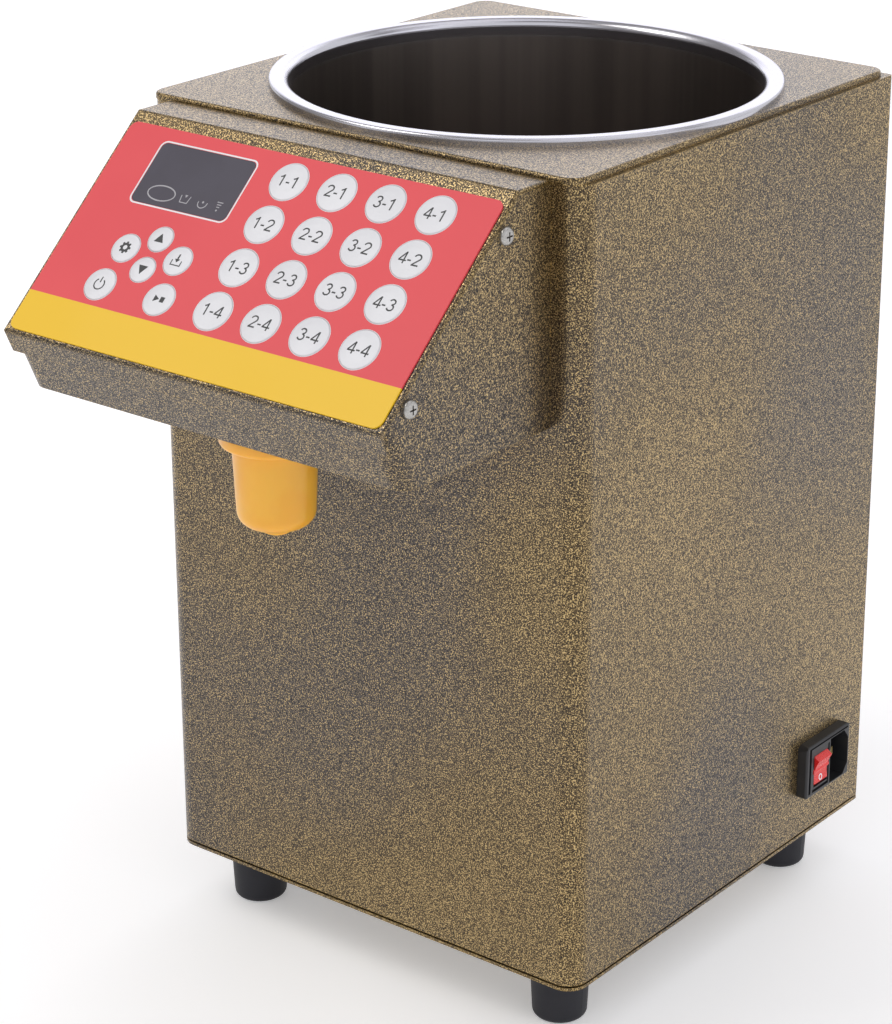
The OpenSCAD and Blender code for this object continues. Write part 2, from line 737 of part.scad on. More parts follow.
// outlet fitting: collar inside the tank, threaded neck and hose barb below
module tank_outlet() color(steel) in_place() translate([0, outlet_y, 0]) rotate_extrude()
    polygon([
        [port_r, tank_floor + outlet_flange_t - 1], [port_r + 1.5, tank_floor + outlet_flange_t],
        [outlet_flange_r - 1, tank_floor + outlet_flange_t],
        [outlet_flange_r, tank_floor + outlet_flange_t - 1], [outlet_flange_r, tank_floor],
        [outlet_thread_r, tank_floor], [outlet_thread_r, outlet_low],
        [barb_r, outlet_low], [barb_r, outlet_low - barb_len + 1],
        [barb_r - 1, outlet_low - barb_len], [port_r, outlet_low - barb_len]]);

module outlet_gasket() color(dark) in_place()
    translate([0, outlet_y, tank_floor - tank_t - gasket_t]) linear_extrude(gasket_t)
        ring(outlet_flange_r, outlet_thread_r + fit);

module outlet_nut() color(steel) in_place()
    translate([0, outlet_y, tank_floor - tank_t - gasket_t - nut_h]) difference() {
        intersection() {
            cylinder(h = nut_h, r = nut_r, $fn = 6);
            rotate_extrude() polygon([[0, 0], [nut_r - 2, 0], [nut_r, 1.2], [nut_r, nut_h - 1.2],
                                      [nut_r - 2, nut_h], [0, nut_h]]);
        }
        translate([0, 0, -1]) cylinder(h = nut_h + 2, r = outlet_thread_r + fit);
    }

// ---------------------------------------------------------------- pipes

module suction_hose() color([0.9, 0.88, 0.82]) in_place()
    translate([0, outlet_y, pump_top + barb_boss_h + 1])
        linear_extrude(outlet_low - pump_top - barb_boss_h - 2) ring(hose_r, barb_r + fit);

// ear clamp round a hose
module clip() linear_extrude(clip_w) difference() {
    union() {
        circle(hose_r + clip_t);
        translate([hose_r, -clip_ear / 2]) square([clip_ear, clip_ear]);
    }
    circle(hose_r + fit);
}

module hose_clips() color(steel) in_place() {
    for (z = [outlet_low - clip_w - 4, pump_top + barb_boss_h + 3])
        translate([0, outlet_y, z]) rotate(90) clip();
    translate([0, outlet_y, pump_z - pump_h / 2 - barb_boss_h - clip_w - 3]) rotate(-90) clip();
}

module delivery_pipe() color([0.9, 0.88, 0.82]) in_place()
    pipe(route, pipe_bend, hose_r, barb_r + fit);

module nozzle() color([0.95, 0.7, 0.25]) in_place() translate([nozzle_x, nozzle_y, 0]) {
    end_z = nozzle_low - nozzle_len;
    tip_z = end_z - 6;
    outlet_r = 3;
    tip_r = outlet_r + 3.2;
    rotate_extrude() polygon(concat(
        [[hose_r + fit, head_z + neck_h], [neck_r, head_z + neck_h], [neck_r, head_z]],
        rounded_corner([neck_r, head_z], [nozzle_flange_r, head_z], [nozzle_flange_r, nozzle_low],
            1.5),
        rounded_corner([nozzle_flange_r, head_z], [nozzle_flange_r, nozzle_low],
            [nozzle_top_r, nozzle_low], 2),
        [[nozzle_top_r, nozzle_low]],
        rounded_corner([nozzle_top_r, nozzle_low], [nozzle_end_r, end_z], [tip_r, tip_z + 1.6], 7, 8),
        [[tip_r, tip_z + 1.6], [tip_r - 0.2, tip_z + 0.8], [tip_r - 1.6, tip_z],
         [outlet_r, tip_z], [outlet_r, tip_z + 3]],
        rounded_corner([outlet_r, tip_z + 3], [nozzle_end_r - nozzle_t, end_z + nozzle_t],
            [nozzle_top_r - nozzle_t, nozzle_low], 6),
        [[nozzle_top_r - nozzle_t, nozzle_low], [nozzle_top_r - nozzle_t, head_z - nozzle_t],
         [barb_r, head_z - nozzle_t], [barb_r, head_z + 1], [hose_r + fit, head_z + 1]]));
}

// ---------------------------------------------------------------- pump

function involute(a) = tan(a) * 180 / PI - a;

// half the angle that a tooth spans at radius r
function tooth_half(r) = 90 / teeth - backlash / 2 / pitch_r * 180 / PI
    + involute(pressure_angle) - involute(acos(base_r / r));

flank_steps = 6;
flank = [for (i = [0:flank_steps]) base_r + (tip_r - base_r) * i / flank_steps];
tooth = concat([[root_r, -tooth_half(base_r)]],
    [for (r = flank) [r, -tooth_half(r)]],
    [for (r = reversed(flank)) [r, tooth_half(r)]],
    [[root_r, tooth_half(base_r)]]);

// involute gear in the X-Z plane, teeth centred on the directions turn + k * pitch
module gear(turn) {
    points = [for (k = [0:teeth - 1], p = tooth)
        p[0] * [cos(turn + p[1] + k * 360 / teeth), sin(turn + p[1] + k * 360 / teeth)]];
    translate([0, gear_w / 2, 0]) rotate([90, 0, 0]) linear_extrude(gear_w) polygon(points);
}

// cylinder along +Y from y
module rod(x, y, z, len, r) translate([x, y, z]) rotate([-90, 0, 0]) cylinder(h = len, r = r);

module drive_gear() color([0.85, 0.83, 0.75]) in_place() difference() {
    translate([-pitch_r, outlet_y, pump_z]) gear(0);
    rod(-pitch_r, outlet_y - gear_w, pump_z, 2 * gear_w, shaft_r + grip);
}

// driven gear, in one piece with its two journals
module driven_gear() color([0.85, 0.83, 0.75]) in_place() {
    translate([pitch_r, outlet_y, pump_z]) gear(180 + 180 / teeth);
    rod(pitch_r, chamber_front - journal_len, pump_z,
        chamber_back - chamber_front + 2 * journal_len, shaft_r);
}

module drive_shaft() color(steel) in_place()
    rod(-pitch_r, chamber_front - journal_len, pump_z,
        coupling_mid - 1 - chamber_front + journal_len, shaft_r);

module pump_outline() rounded_rect(pump_w, pump_h, 7);

module pump_body() color([0.62, 0.64, 0.66]) in_place() difference() {
    union() {
        translate([0, pump_back, pump_z]) rotate([90, 0, 0])
            linear_extrude(pump_back - chamber_front) pump_outline();
        for (side = [-1, 1]) aimed([0, outlet_y, pump_z + side * (pump_h / 2 - 1)], [0, 0, side]) {
            cylinder(h = 1 + barb_boss_h, r = barb_boss_r, $fn = 6);
            cylinder(h = 1 + barb_boss_h + barb_len, r = barb_r);
        }
    }
    for (side = [-1, 1])
        rod(side * pitch_r, chamber_front - 1, pump_z, chamber_back - chamber_front + 1, chamber_r);
    rod(-pitch_r, chamber_front, pump_z, 60, shaft_r + running_gap);
    rod(-pitch_r, pump_back - seal_w, pump_z, seal_w + 1, seal_r);
    rod(pitch_r, chamber_front, pump_z, chamber_back - chamber_front + journal_hole,
        shaft_r + running_gap);
    translate([0, outlet_y, pump_z - pump_h]) cylinder(h = 2 * pump_h, r = port_r);
    screw_holes(cover_screws, m4, 40);
}

module pump_cover() color([0.62, 0.64, 0.66]) in_place() difference() {
    translate([0, chamber_front, pump_z]) rotate([90, 0, 0])
        linear_extrude(pump_cover_t) pump_outline();
    for (side = [-1, 1])
        rod(side * pitch_r, chamber_front - journal_hole, pump_z, 10, shaft_r + running_gap);
    screw_holes(cover_screws, m4, 40);
}

module pump_screws() color(steel) in_place()
    screws(cover_screws, m4, pump_cover_t + pump_back - chamber_front + upright_t + 4);

module shaft_seal() color(dark) in_place() translate([-pitch_r, pump_back, pump_z])
    rotate([90, 0, 0]) linear_extrude(seal_w) ring(seal_r - fit, shaft_r + running_gap);

// ---------------------------------------------------------------- drive

// clamp coupling with relief slots across its middle
module shaft_coupling() color([0.75, 0.76, 0.78]) in_place() difference() {
    rod(-pitch_r, coupling_start, pump_z, coupling_len, coupling_r);
    rod(-pitch_r, coupling_start - 1, pump_z, coupling_len + 2, shaft_r + grip);
    for (i = [-1:1]) translate([-pitch_r, coupling_mid + i * slit_pitch, pump_z])
        rotate([0, i * 180, 0]) translate([-1.5, -slit_w / 2, -coupling_r - 1])
            cube([coupling_r * 2, slit_w, 2 * coupling_r + 2]);
    for (y = [coupling_start + 3, coupling_end - 3])
        translate([-pitch_r, y, pump_z]) cylinder(h = coupling_r + 1, r = m3[0]);
}

module motor_shaft() color(steel) in_place()
    rod(-pitch_r, coupling_mid + 1, pump_z, motor_front + shaft_in_motor - coupling_mid - 1,
        shaft_r);

module motor() color([0.2, 0.2, 0.22]) in_place() difference() {
    union() {
        translate([-pitch_r, motor_front, pump_z]) rotate([-90, 0, 0]) rotate_extrude()
            polygon(rounded_outline([[0, 0], [motor_r, 0], [motor_r, motor_len - motor_cap_len],
                [motor_cap_r, motor_len - motor_cap_len], [motor_cap_r, motor_len], [0, motor_len]],
                [0, 2, 1, 0, 1.5, 0]));
        rod(-pitch_r, motor_front - upright_t - 1, pump_z, upright_t + 2, motor_pilot_r);
        for (side = [-1, 1])
            translate([side * terminal_x - pitch_r - 3, motor_front + motor_len - 1, pump_z - 0.4])
                cube([6, 9, 0.8]);
    }
    rod(-pitch_r, motor_front - 10, pump_z, 11 + shaft_in_motor, shaft_r + running_gap);
    for (turn = [0:60:300])
        translate([-pitch_r, motor_front + motor_len, pump_z]) rotate([0, turn, 0])
            translate([motor_cap_r - 2, 1 - motor_cap_len, -4]) cube([6, motor_cap_len, 8]);
    screw_holes(motor_screws, m4, m4_len + 1);
}

// bracket with a base, an upright for the pump and an upright for the motor
module pump_bracket() color(steel) in_place() difference() {
    front = pump_back;
    back = motor_front;
    union() {
        translate([-pump_w / 2 - bracket_foot_w, front, field_z])
            cube([pump_w + 2 * bracket_foot_w, back - front, upright_t]);
        translate([0, front + upright_t, 0]) rotate([90, 0, 0]) linear_extrude(upright_t)
            translate([0, (field_z + pump_top) / 2])
                rounded_rect(pump_w, pump_top - field_z, 5);
        translate([-pitch_r, back, 0]) rotate([90, 0, 0]) linear_extrude(upright_t)
            translate([0, (field_z + pump_z + motor_r) / 2])
                rounded_rect(2 * motor_r, pump_z + motor_r - field_z, 5);
    }
    rod(-pitch_r, front - 1, pump_z, upright_t + 2, seal_r + 2);
    rod(-pitch_r, back - upright_t - 1, pump_z, upright_t + 2, motor_pilot_r + 2 * fit);
    screw_holes(cover_screws, m4, 60);
    screw_holes(motor_screws, m4, m4_len);
    screw_holes(bracket_screws, m4, m4_len);
}

// ---------------------------------------------------------------- electrics

module power_supply() color(steel) in_place() difference() {
    translate([supply_x, supply_y, field_z]) union() {
        translate([0, terminal_len, 0]) cube([supply_w, supply_len - terminal_len, supply_h]);
        cube([tray_t, terminal_len + 1, supply_h]);
        translate([0, 3, 10]) cube([terminal_w, terminal_len - 2, supply_h - 20]);
        cube([supply_w, terminal_len + 1, tray_t]);
    }
    for (y = [2 * terminal_len:fin_pitch:supply_len - fin_pitch])
        translate([supply_x + supply_w - 2, supply_y + y, field_z + fin_margin])
            cube([4, fin_pitch / 2, supply_h - 2 * fin_margin]);
    screw_holes(supply_screws, m4, m4_len + 1);
}

module socket_outline() {
    w = socket_w / 2;
    h = socket_h / 2;
    polygon([[-w, -h], [w - 4, -h], [w, 5 - h], [w, h - 5], [w - 4, h], [-w, h]]);
}

// bezel's section from its foot to its rounded front edges, for a bezel w wide
function bezel_section(w) = rounded_outline(
    [[-1, -w / 2 - bezel_draft / 2], [bezel_h, bezel_draft - w / 2],
     [bezel_h, w / 2 - bezel_draft], [-1, w / 2 + bezel_draft / 2]],
    [0, bezel_edge_r, bezel_edge_r, 0]);

module bezel_block() translate([body_w / 2, inlet_y, inlet_z]) intersection() {
    rotate([90, 0, 90]) linear_extrude(bezel_h + 1) rounded_rect(bezel_w, bezel_len, bezel_corner_r);
    linear_extrude(bezel_len + 4, center = true) polygon(bezel_section(bezel_w));
    rotate([90, 0, 0]) linear_extrude(bezel_w + 4, center = true) polygon(bezel_section(bezel_len));
}

// groove along the bezel's front and upper edges
module bezel_groove() {
    y = inlet_y - bezel_w / 2 + groove_in;
    z = inlet_z + bezel_len / 2 - groove_in + 1;
    far = inlet_y + bezel_w / 2 - groove_in;
    low = inlet_z - bezel_len / 2 + groove_in;
    prism_x(bezel_x - groove_d, groove_d + 1)
        polygon([[y, low], [y + groove_w, low], [y + groove_w, z - groove_w / 2],
                 [far, z - groove_w / 2], [far, z], [y, z]]);
}

// outline of the rocker's plate, grown by a gap in front, behind, below and above
module rocker_plate(front, back, below, above)
    translate([rocker_y - rocker_w / 2 - 1.2 - front, rocker_z - rocker_h / 2 - 0.9 - below])
        square([rocker_w + 1.6 + front + back, rocker_h + 3.4 + below + above]);

// module with the appliance socket behind and the rocker's well in front
module inlet_housing() color(dark) in_place() difference() {
    union() {
        bezel_block();
        translate([inlet_back, inlet_y - inlet_hole_w / 2 + 0.3, inlet_z - inlet_hole_h / 2 + 0.3])
            cube([body_w / 2 - inlet_back + 0.5, inlet_hole_w - 0.6, inlet_hole_h - 0.6]);
    }
    bezel_groove();
    prism_x(bezel_x - plate_low, 2) rocker_plate(0.4, 0.3, 1.2, 0.4);
    prism_x(bezel_x - plate_low - groove_d, groove_d + 1) difference() {
        rocker_plate(0.4, 0.3, 1.2, 0.4);
        rocker_plate(0, 0, 0, 0);
    }
    translate([bezel_x - socket_d, socket_y, socket_z]) rotate([90, 0, 90])
        linear_extrude(socket_d + 1) socket_outline();
    translate([inlet_back + 2, rocker_y - rocker_w / 2, rocker_z - rocker_h / 2])
        cube([bezel_x, rocker_w, rocker_h]);
    rod(rocker_axis_x, rocker_y - rocker_w / 2 - pin_out, rocker_z, rocker_w + 2 * pin_out,
        pin_r + running_gap);
    for (b = blades)
        translate([inlet_back - 1, socket_y + b.x - blade_t / 2 - fit, socket_z + b.y - blade_h / 2 - fit])
            cube([10, blade_t + 2 * fit, blade_h + 2 * fit]);
}

module inlet_blades() color([0.8, 0.72, 0.45]) in_place() for (b = blades)
    translate([inlet_back - 8, socket_y + b.x - blade_t / 2, socket_z + b.y - blade_h / 2])
        cube([bezel_x - blade_set - inlet_back + 8, blade_t, blade_h]);

// rocker with a hollow face and sloping ends, pressed at its lower end
module rocker() color([0.8, 0.1, 0.08]) in_place() {
    w = rocker_w - 2 * key_gap;
    c = rocker_crease;
    ends = [rocker_crease.x - 5.4, rocker_crease.y + 2.6];
    face = rounded_corner([c.x, -c.y], [c.x - 1.8, 0], c, 14);
    translate([rocker_axis_x, rocker_y, rocker_z]) rotate([0, rocker_tilt, 0]) {
        rotate([90, 0, 0]) linear_extrude(w, center = true) intersection() {
            circle(rocker_reach);
            polygon(concat([[-9, 4], [-9, -4], [ends.x, -ends.y], [c.x, -c.y]], face, [c, ends]));
        }
        rod(0, -w / 2 - pin_out, 0, w + 2 * pin_out, pin_r);
    }
}

// ---------------------------------------------------------------- head

// outline of the head's side: depth below the cover, height above the underside, and how
// far it runs on past the cabinet's front wall
module head_side(depth, low, past) {
    top = offset_path(cover_path, depth);
    far = top[2] + unit(top[2] - top[1]) * 20;
    rear = front_y + past;
    polygon([[rear, top[0].y], top[1], far, [far.x, head_z + low], [rear, head_z + low]]);
}

// upright prism along the leaning front, with rounded front corners
module leaning_block(inset) {
    foot_y = nose_y + (nose_z - head_z) * tan(lean) + (head_inset + inset) / cos(lean);
    half = head_w / 2 - inset;
    far = body_d;
    r = head_corner_r - inset;
    translate([0, foot_y, head_z]) rotate([lean, 0, 0]) translate([0, 0, -head_w / 5])
        linear_extrude(head_w + head_low / 3) {
            polygon([[r - half, 0], [half - r, 0], [half, r], [half, far], [-half, far], [-half, r]]);
            for (side = [-1, 1]) translate([side * (half - r), r]) circle(r);
        }
}

module head_solid() intersection() {
    prism_x(-head_w, 2 * head_w) head_side(head_inset, 0, 0);
    leaning_block(0);
}

// the room inside the head, open at the top and at the rear
module head_room() intersection() {
    prism_x(-head_w, 2 * head_w) head_side(-5, sheet_t, 10);
    leaning_block(sheet_t);
}

module head_shell() color(bronze) in_place() difference() {
    inner_half = head_w / 2 - sheet_t;
    top = strip_z - head_inset;
    union() {
        difference() {
            head_solid();
            head_room();
            prism_x(-head_w, 2 * head_w) translate(offset_path(cover_path, head_inset)[2])
                circle(nose_relief_r);
        }
        difference() {
            translate([-inner_half - 0.5, front_y - sheet_t, head_z + 0.5])
                cube([2 * inner_half + 1, sheet_t, top - head_z - 1]);
            translate([head_flange_w - inner_half, front_y - 5, head_z + head_flange_low])
                cube([2 * (inner_half - head_flange_w), 10, 200]);
            translate([-inner_half, front_y - 5, head_run_z - pipe_hole_r])
                cube([2 * head_flange_w, 10, 2 * pipe_hole_r]);
        }
    }
    translate([nozzle_x, nozzle_y, head_z - 1]) cylinder(h = sheet_t + 2, r = neck_r + 0.2);
    screw_holes(concat(side_screws, head_screws), m4, m4_len);
}

// what is cut off to round the cover's side edge, on the plane of a stretch from a to b
module edge_cut(side, a, b) {
    along = unit(b - a);
    inward = left(along);
    over = head_w / 10;
    len = norm(b - a);
    frame_at([side * (head_w / 2 - sheet_t), a.x, a.y], [side, 0, 0], [0, along.x, along.y],
        [0, inward.x, inward.y])
        translate([0, -over, 0]) difference() {
            translate([0, 0, -1]) cube([sheet_t + 1, len + 2 * over, sheet_t + 1]);
            translate([0, -1, sheet_t]) rotate([-90, 0, 0])
                cylinder(h = len + 2 * over + 2, r = sheet_t);
        }
}

module front_cover() color(bronze) in_place() difference() {
    flange_x = head_w / 2 - head_inset - sheet_t;
    flange_path = [cover_path[0], cover_path[1],
        [nose_y, nose_z] + cover_flange_end * [cos(panel_tilt), sin(panel_tilt)]];
    union() {
        prism_x(-head_w / 2, head_w) polygon(bent_sheet(cover_path, sheet_t, bend_r));
        for (side = [-1, 1]) prism_x(side * (flange_x + sheet_t / 2) - sheet_t / 2, sheet_t)
            polygon(concat(offset_path(flange_path, sheet_t / 2),
                reversed(offset_path(flange_path, cover_flange_d))));
        for (p = stud_screws) on_panel(p.x, p.y, board_depth)
            cylinder(h = board_depth - sheet_t / 2, r = stud_r);
    }
    for (k = KEYS) on_panel(k[1], k[2], sheet_t + 1)
        cylinder(h = sheet_t + 2, r = k[3] + flange_over + 0.6);
    on_panel(-window_x, window_s, sheet_t + 1) linear_extrude(sheet_t + 2)
        rounded_rect(window_w + 0.2, window_len + 0.2, window_corner_r);
    for (p = stud_screws) on_panel(p.x, p.y, board_depth + 1)
        cylinder(h = 9, r = m3[0] + fit);
    screw_holes(side_screws, m4, m4_len);
    for (side = [-1, 1], i = [0:2]) edge_cut(side, cover_path[i], cover_path[i + 1]);
}

module keypad_overlay() color([0.93, 0.36, 0.38]) in_place() difference() {
    on_panel(0, overlay_top + overlay_len / 2, -glue_t) linear_extrude(overlay_t - glue_t)
        rounded_rect(overlay_w, overlay_len, overlay_corner_r);
    for (k = KEYS) on_panel(k[1], k[2], 1) cylinder(h = overlay_t + 2, r = k[3] + key_gap);
    on_panel(-window_x, window_s, 1) linear_extrude(overlay_t + 2)
        rounded_rect(window_w + 0.2, window_len + 0.2, window_corner_r);
}

// key: crowned cap, collar trapped under the overlay and stem above its switch
module key(k) color([0.95, 0.95, 0.96]) in_place() on_panel(k[1], k[2]) {
    top = overlay_t + key_proud;
    rotate_extrude() polygon([
        [0, -stem_end], [stem_r, -stem_end], [stem_r, -flange_gap - 0.8],
        [k[3] + flange_over, -flange_gap - 0.8], [k[3] + flange_over, -flange_gap],
        [k[3], -flange_gap], [k[3], top - 0.3], [k[3] - 0.3, top], [k[3] * 0.6, top + 0.25],
        [0, top + 0.35]]);
}

module display_window() color([0.3, 0.3, 0.36]) in_place() on_panel(-window_x, window_s) {
    translate([0, 0, -sheet_t - 0.2]) linear_extrude(sheet_t + 0.2 + overlay_t)
        rounded_rect(window_w, window_len, window_corner_r);
    translate([0, 0, -sheet_t - 1]) linear_extrude(1)
        rounded_rect(window_w + 2 * window_flange, window_len + 2 * window_flange, window_corner_r);
}

module display_module() color([0.12, 0.12, 0.13]) in_place()
    on_panel(-window_x, window_s, board_depth)
        translate([-module_w / 2, -module_len / 2, 0]) cube([module_w, module_len, module_h]);

module control_board() color([0.1, 0.4, 0.2]) in_place() difference() {
    on_panel(0, board_s, board_depth + board_t) linear_extrude(board_t)
        rounded_rect(board_w, board_len, 2);
    for (p = stud_screws) on_panel(p.x, p.y, board_depth + 5) cylinder(h = 8, r = m3[0] + screw_gap);
}

module tact_switches() color(dark) in_place() for (k = KEYS)
    on_panel(k[1], k[2], board_depth) {
        translate([-switch_w / 2, -switch_w / 2, 0]) cube([switch_w, switch_w, switch_h]);
        cylinder(h = switch_h + plunger_h, r = plunger_r);
    }

module board_screws() color(steel) in_place() for (p = stud_screws)
    on_panel(p.x, p.y, board_depth + board_t) mirror([0, 0, 1]) screw(m3, 7);

// ---------------------------------------------------------------- nodes

body_shell();
rear_panel();
top_plate();
base_plate();
feet();
foot_screws();
chassis_screws();
tank();
tank_outlet();
outlet_gasket();
outlet_nut();
suction_hose();
hose_clips();
delivery_pipe();
nozzle();
pump_body();
pump_cover();
pump_screws();
shaft_seal();
drive_gear();
driven_gear();
drive_shaft();
shaft_coupling();
motor_shaft();
motor();
pump_bracket();
power_supply();
inlet_housing();
inlet_blades();
rocker();
head_shell();
front_cover();
keypad_overlay();
display_window();
display_module();
control_board();
tact_switches();
board_screws();
for (k = KEYS) key(k);
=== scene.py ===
import json
import math
import bmesh
import bpy
from mathutils import Matrix, Vector
from mathutils.bvhtree import BVHTree


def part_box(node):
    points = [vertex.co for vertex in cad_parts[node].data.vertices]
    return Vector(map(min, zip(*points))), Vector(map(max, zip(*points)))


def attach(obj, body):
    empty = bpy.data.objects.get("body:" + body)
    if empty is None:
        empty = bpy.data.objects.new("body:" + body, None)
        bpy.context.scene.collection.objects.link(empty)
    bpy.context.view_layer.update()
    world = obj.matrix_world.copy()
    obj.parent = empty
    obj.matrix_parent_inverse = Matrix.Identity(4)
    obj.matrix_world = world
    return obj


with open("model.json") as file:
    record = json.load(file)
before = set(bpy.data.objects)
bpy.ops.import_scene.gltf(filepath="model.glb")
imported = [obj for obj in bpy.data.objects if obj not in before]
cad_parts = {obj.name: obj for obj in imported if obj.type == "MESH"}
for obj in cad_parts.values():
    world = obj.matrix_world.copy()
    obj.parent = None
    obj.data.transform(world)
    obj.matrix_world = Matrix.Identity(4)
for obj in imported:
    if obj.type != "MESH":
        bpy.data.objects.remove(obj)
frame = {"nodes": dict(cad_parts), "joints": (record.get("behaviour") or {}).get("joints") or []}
nodes = frame["nodes"]
joints = {joint["name"]: joint for joint in frame["joints"]}
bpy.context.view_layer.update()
scene = bpy.context.scene
scene.view_settings.view_transform = "Standard"
mm = 0.001
print("frame loaded,", len(nodes), "nodes")

# camera, matched to the cabinet's edges in the photograph

cameraSetup = {
    "target": (0.0, 0.0102, 0.2141),    # from the cabinet's middle, on the floor
    "azimuth": 36.87,
    "elevation": 21.25,
    "roll": 0.38,
    "distance": 1.4435,
    "lens": 106.17,
    "shift": (-0.0896, -0.0413),
    "clip": (0.05, 50),
}


def direction(azimuth, elevation):
    a, e = math.radians(azimuth), math.radians(elevation)
    return Vector((math.sin(a) * math.cos(e), -math.cos(a) * math.cos(e), math.sin(e)))


def makeCamera(setup):
    data = bpy.data.cameras.new("camera")
    data.lens = setup["lens"]
    data.shift_x, data.shift_y = setup["shift"]
    data.clip_start, data.clip_end = setup["clip"]
    camera = bpy.data.objects.new("camera", data)
    scene.collection.objects.link(camera)
    back = direction(setup["azimuth"], setup["elevation"])
    level = (-back).to_track_quat("-Z", "Y").to_matrix().to_4x4()
    roll = Matrix.Rotation(math.radians(setup["roll"]), 4, "Z")
    low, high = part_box("body_shell")
    middle = Vector(((low.x + high.x) / 2, (low.y + high.y) / 2, 0))
    place = middle + Vector(setup["target"]) + back * setup["distance"]
    camera.matrix_world = Matrix.Translation(place) @ level @ roll
    scene.camera = camera


makeCamera(cameraSetup)

# studio: pale floor, soft boxes and a sky that is patchy only where it is reflected

studio = {
    "floorHalf": 8.0,
    "floorDrop": 0.1 * mm,
    "floorRoughness": 0.9,
    "floorColour": (0.95, 0.95, 0.955, 1),
    "floorGlow": 0.3,
    "skyColour": (0.97, 0.975, 1.0, 1),
    "skyShade": (0.34, 0.33, 0.33, 1),
    "skyPatches": 1.3,
    "patchEdges": (0.4, 0.6),
    "skyStrength": 1.0,
    "aim": (0, 0, 0.2),
}
softBoxes = {
    "keyLight": {"azimuth": -48, "elevation": 50, "distance": 2.4, "size": (1.2, 1.2),
                 "power": 16, "colour": (1.0, 0.97, 0.92)},
    "sideLight": {"azimuth": 100, "elevation": 30, "distance": 2.2, "size": (1.0, 1.8),
                  "power": 3, "colour": (0.93, 0.93, 1.0)},
    "topLight": {"azimuth": 160, "elevation": 76, "distance": 2.3, "size": (1.6, 1.6),
                 "power": 6.5, "colour": (0.95, 0.95, 1.0)},
    "backLight": {"azimuth": 214, "elevation": 24, "distance": 2.6, "size": (2.6, 1.3),
                  "power": 9, "colour": (0.90, 0.89, 1.0)},
}


def makeFloor():
    mesh = bpy.data.meshes.new("studioFloor")
    h = studio["floorHalf"]
    mesh.from_pydata([(-h, -h, 0), (h, -h, 0), (h, h, 0), (-h, h, 0)], [], [(0, 1, 2, 3)])
    floor = bpy.data.objects.new("studioFloor", mesh)
    floor.location.z = -studio["floorDrop"]
    scene.collection.objects.link(floor)
    material, tree, shader = newMaterial("floorPaper")
    shader.inputs["Base Color"].default_value = studio["floorColour"]
    shader.inputs["Roughness"].default_value = studio["floorRoughness"]
    shader.inputs["Emission Color"].default_value = studio["floorColour"]
    shader.inputs["Emission Strength"].default_value = studio["floorGlow"]
    mesh.materials.append(material)


def makeSky():
    world = bpy.data.worlds.new("sky")
    scene.world = world
    world.use_nodes = True
    tree = world.node_tree
    tree.nodes.clear()
    way = addNode(tree, "TexCoord").outputs["Generated"]
    wires = {"Vector": way, "Scale": studio["skyPatches"], "Detail": 0.0}
    patches = addNode(tree, "TexNoise", wires).outputs["Fac"]
    soft = ramp(tree, patches, *studio["patchEdges"])
    colour = blendColours(tree, soft, studio["skyShade"], studio["skyColour"])
    seen = addNode(tree, "LightPath").outputs["Is Camera Ray"]    # the backdrop itself stays pale
    colour = blendColours(tree, seen, colour, studio["skyColour"])
    wires = {"Color": colour, "Strength": studio["skyStrength"]}
    background = addNode(tree, "Background", wires)
    output = addNode(tree, "OutputWorld")
    tree.links.new(background.outputs[0], output.inputs[0])


def makeLights():
    for name, box in softBoxes.items():
        data = bpy.data.lights.new(name, "AREA")
        data.shape = "RECTANGLE"
        data.size, data.size_y = box["size"]
        data.energy = box["power"]
        data.color = box["colour"]
        light = bpy.data.objects.new(name, data)
        scene.collection.objects.link(light)
        back = direction(box["azimuth"], box["elevation"])
        turn = (-back).to_track_quat("-Z", "Y").to_matrix().to_4x4()
        place = Vector(studio["aim"]) + back * box["distance"]
        light.matrix_world = Matrix.Translation(place) @ turn


# small helpers for shader trees

def feed(tree, socket, value):
    if isinstance(value, bpy.types.NodeSocket):
        tree.links.new(value, socket)
    else:
        socket.default_value = value


def addNode(tree, kind, wires=None, **settings):
    node = tree.nodes.new("ShaderNode" + kind)
    for name, value in settings.items():
        setattr(node, name, value)
    for name, value in (wires or {}).items():
        feed(tree, node.inputs[name], value)
    return node


def newMaterial(name):
    material = bpy.data.materials.new(name)
    material.use_nodes = True
    tree = material.node_tree
    tree.nodes.clear()
    shader = addNode(tree, "BsdfPrincipled")
    output = addNode(tree, "OutputMaterial")
    tree.links.new(shader.outputs[0], output.inputs[0])
    return material, tree, shader


def objectPlace(tree):
    return addNode(tree, "TexCoord").outputs["Object"]


def calculate(tree, operation, a, b):
    return addNode(tree, "Math", {0: a, 1: b}, operation=operation).outputs[0]


def ramp(tree, value, low, high, toLow=0.0, toHigh=1.0):
    wires = {"Value": value, "From Min": low, "From Max": high, "To Min": toLow, "To Max": toHigh}
    return addNode(tree, "MapRange", wires, interpolation_type="SMOOTHSTEP").outputs[0]


def blendColours(tree, share, a, b):
    node = addNode(tree, "Mix", data_type="RGBA")
    feed(tree, node.inputs[0], share)
    feed(tree, node.inputs[6], a)
    feed(tree, node.inputs[7], b)
    return node.outputs[2]


def varyRoughness(tree, shader, mask, edges, span):
    feed(tree, shader.inputs["Roughness"], ramp(tree, mask, *edges, *span))


def addBump(tree, shader, height, strength, distance):
    wires = {"Height": height, "Strength": strength, "Distance": distance}
    bump = addNode(tree, "Bump", wires)
    tree.links.new(bump.outputs[0], shader.inputs["Normal"])


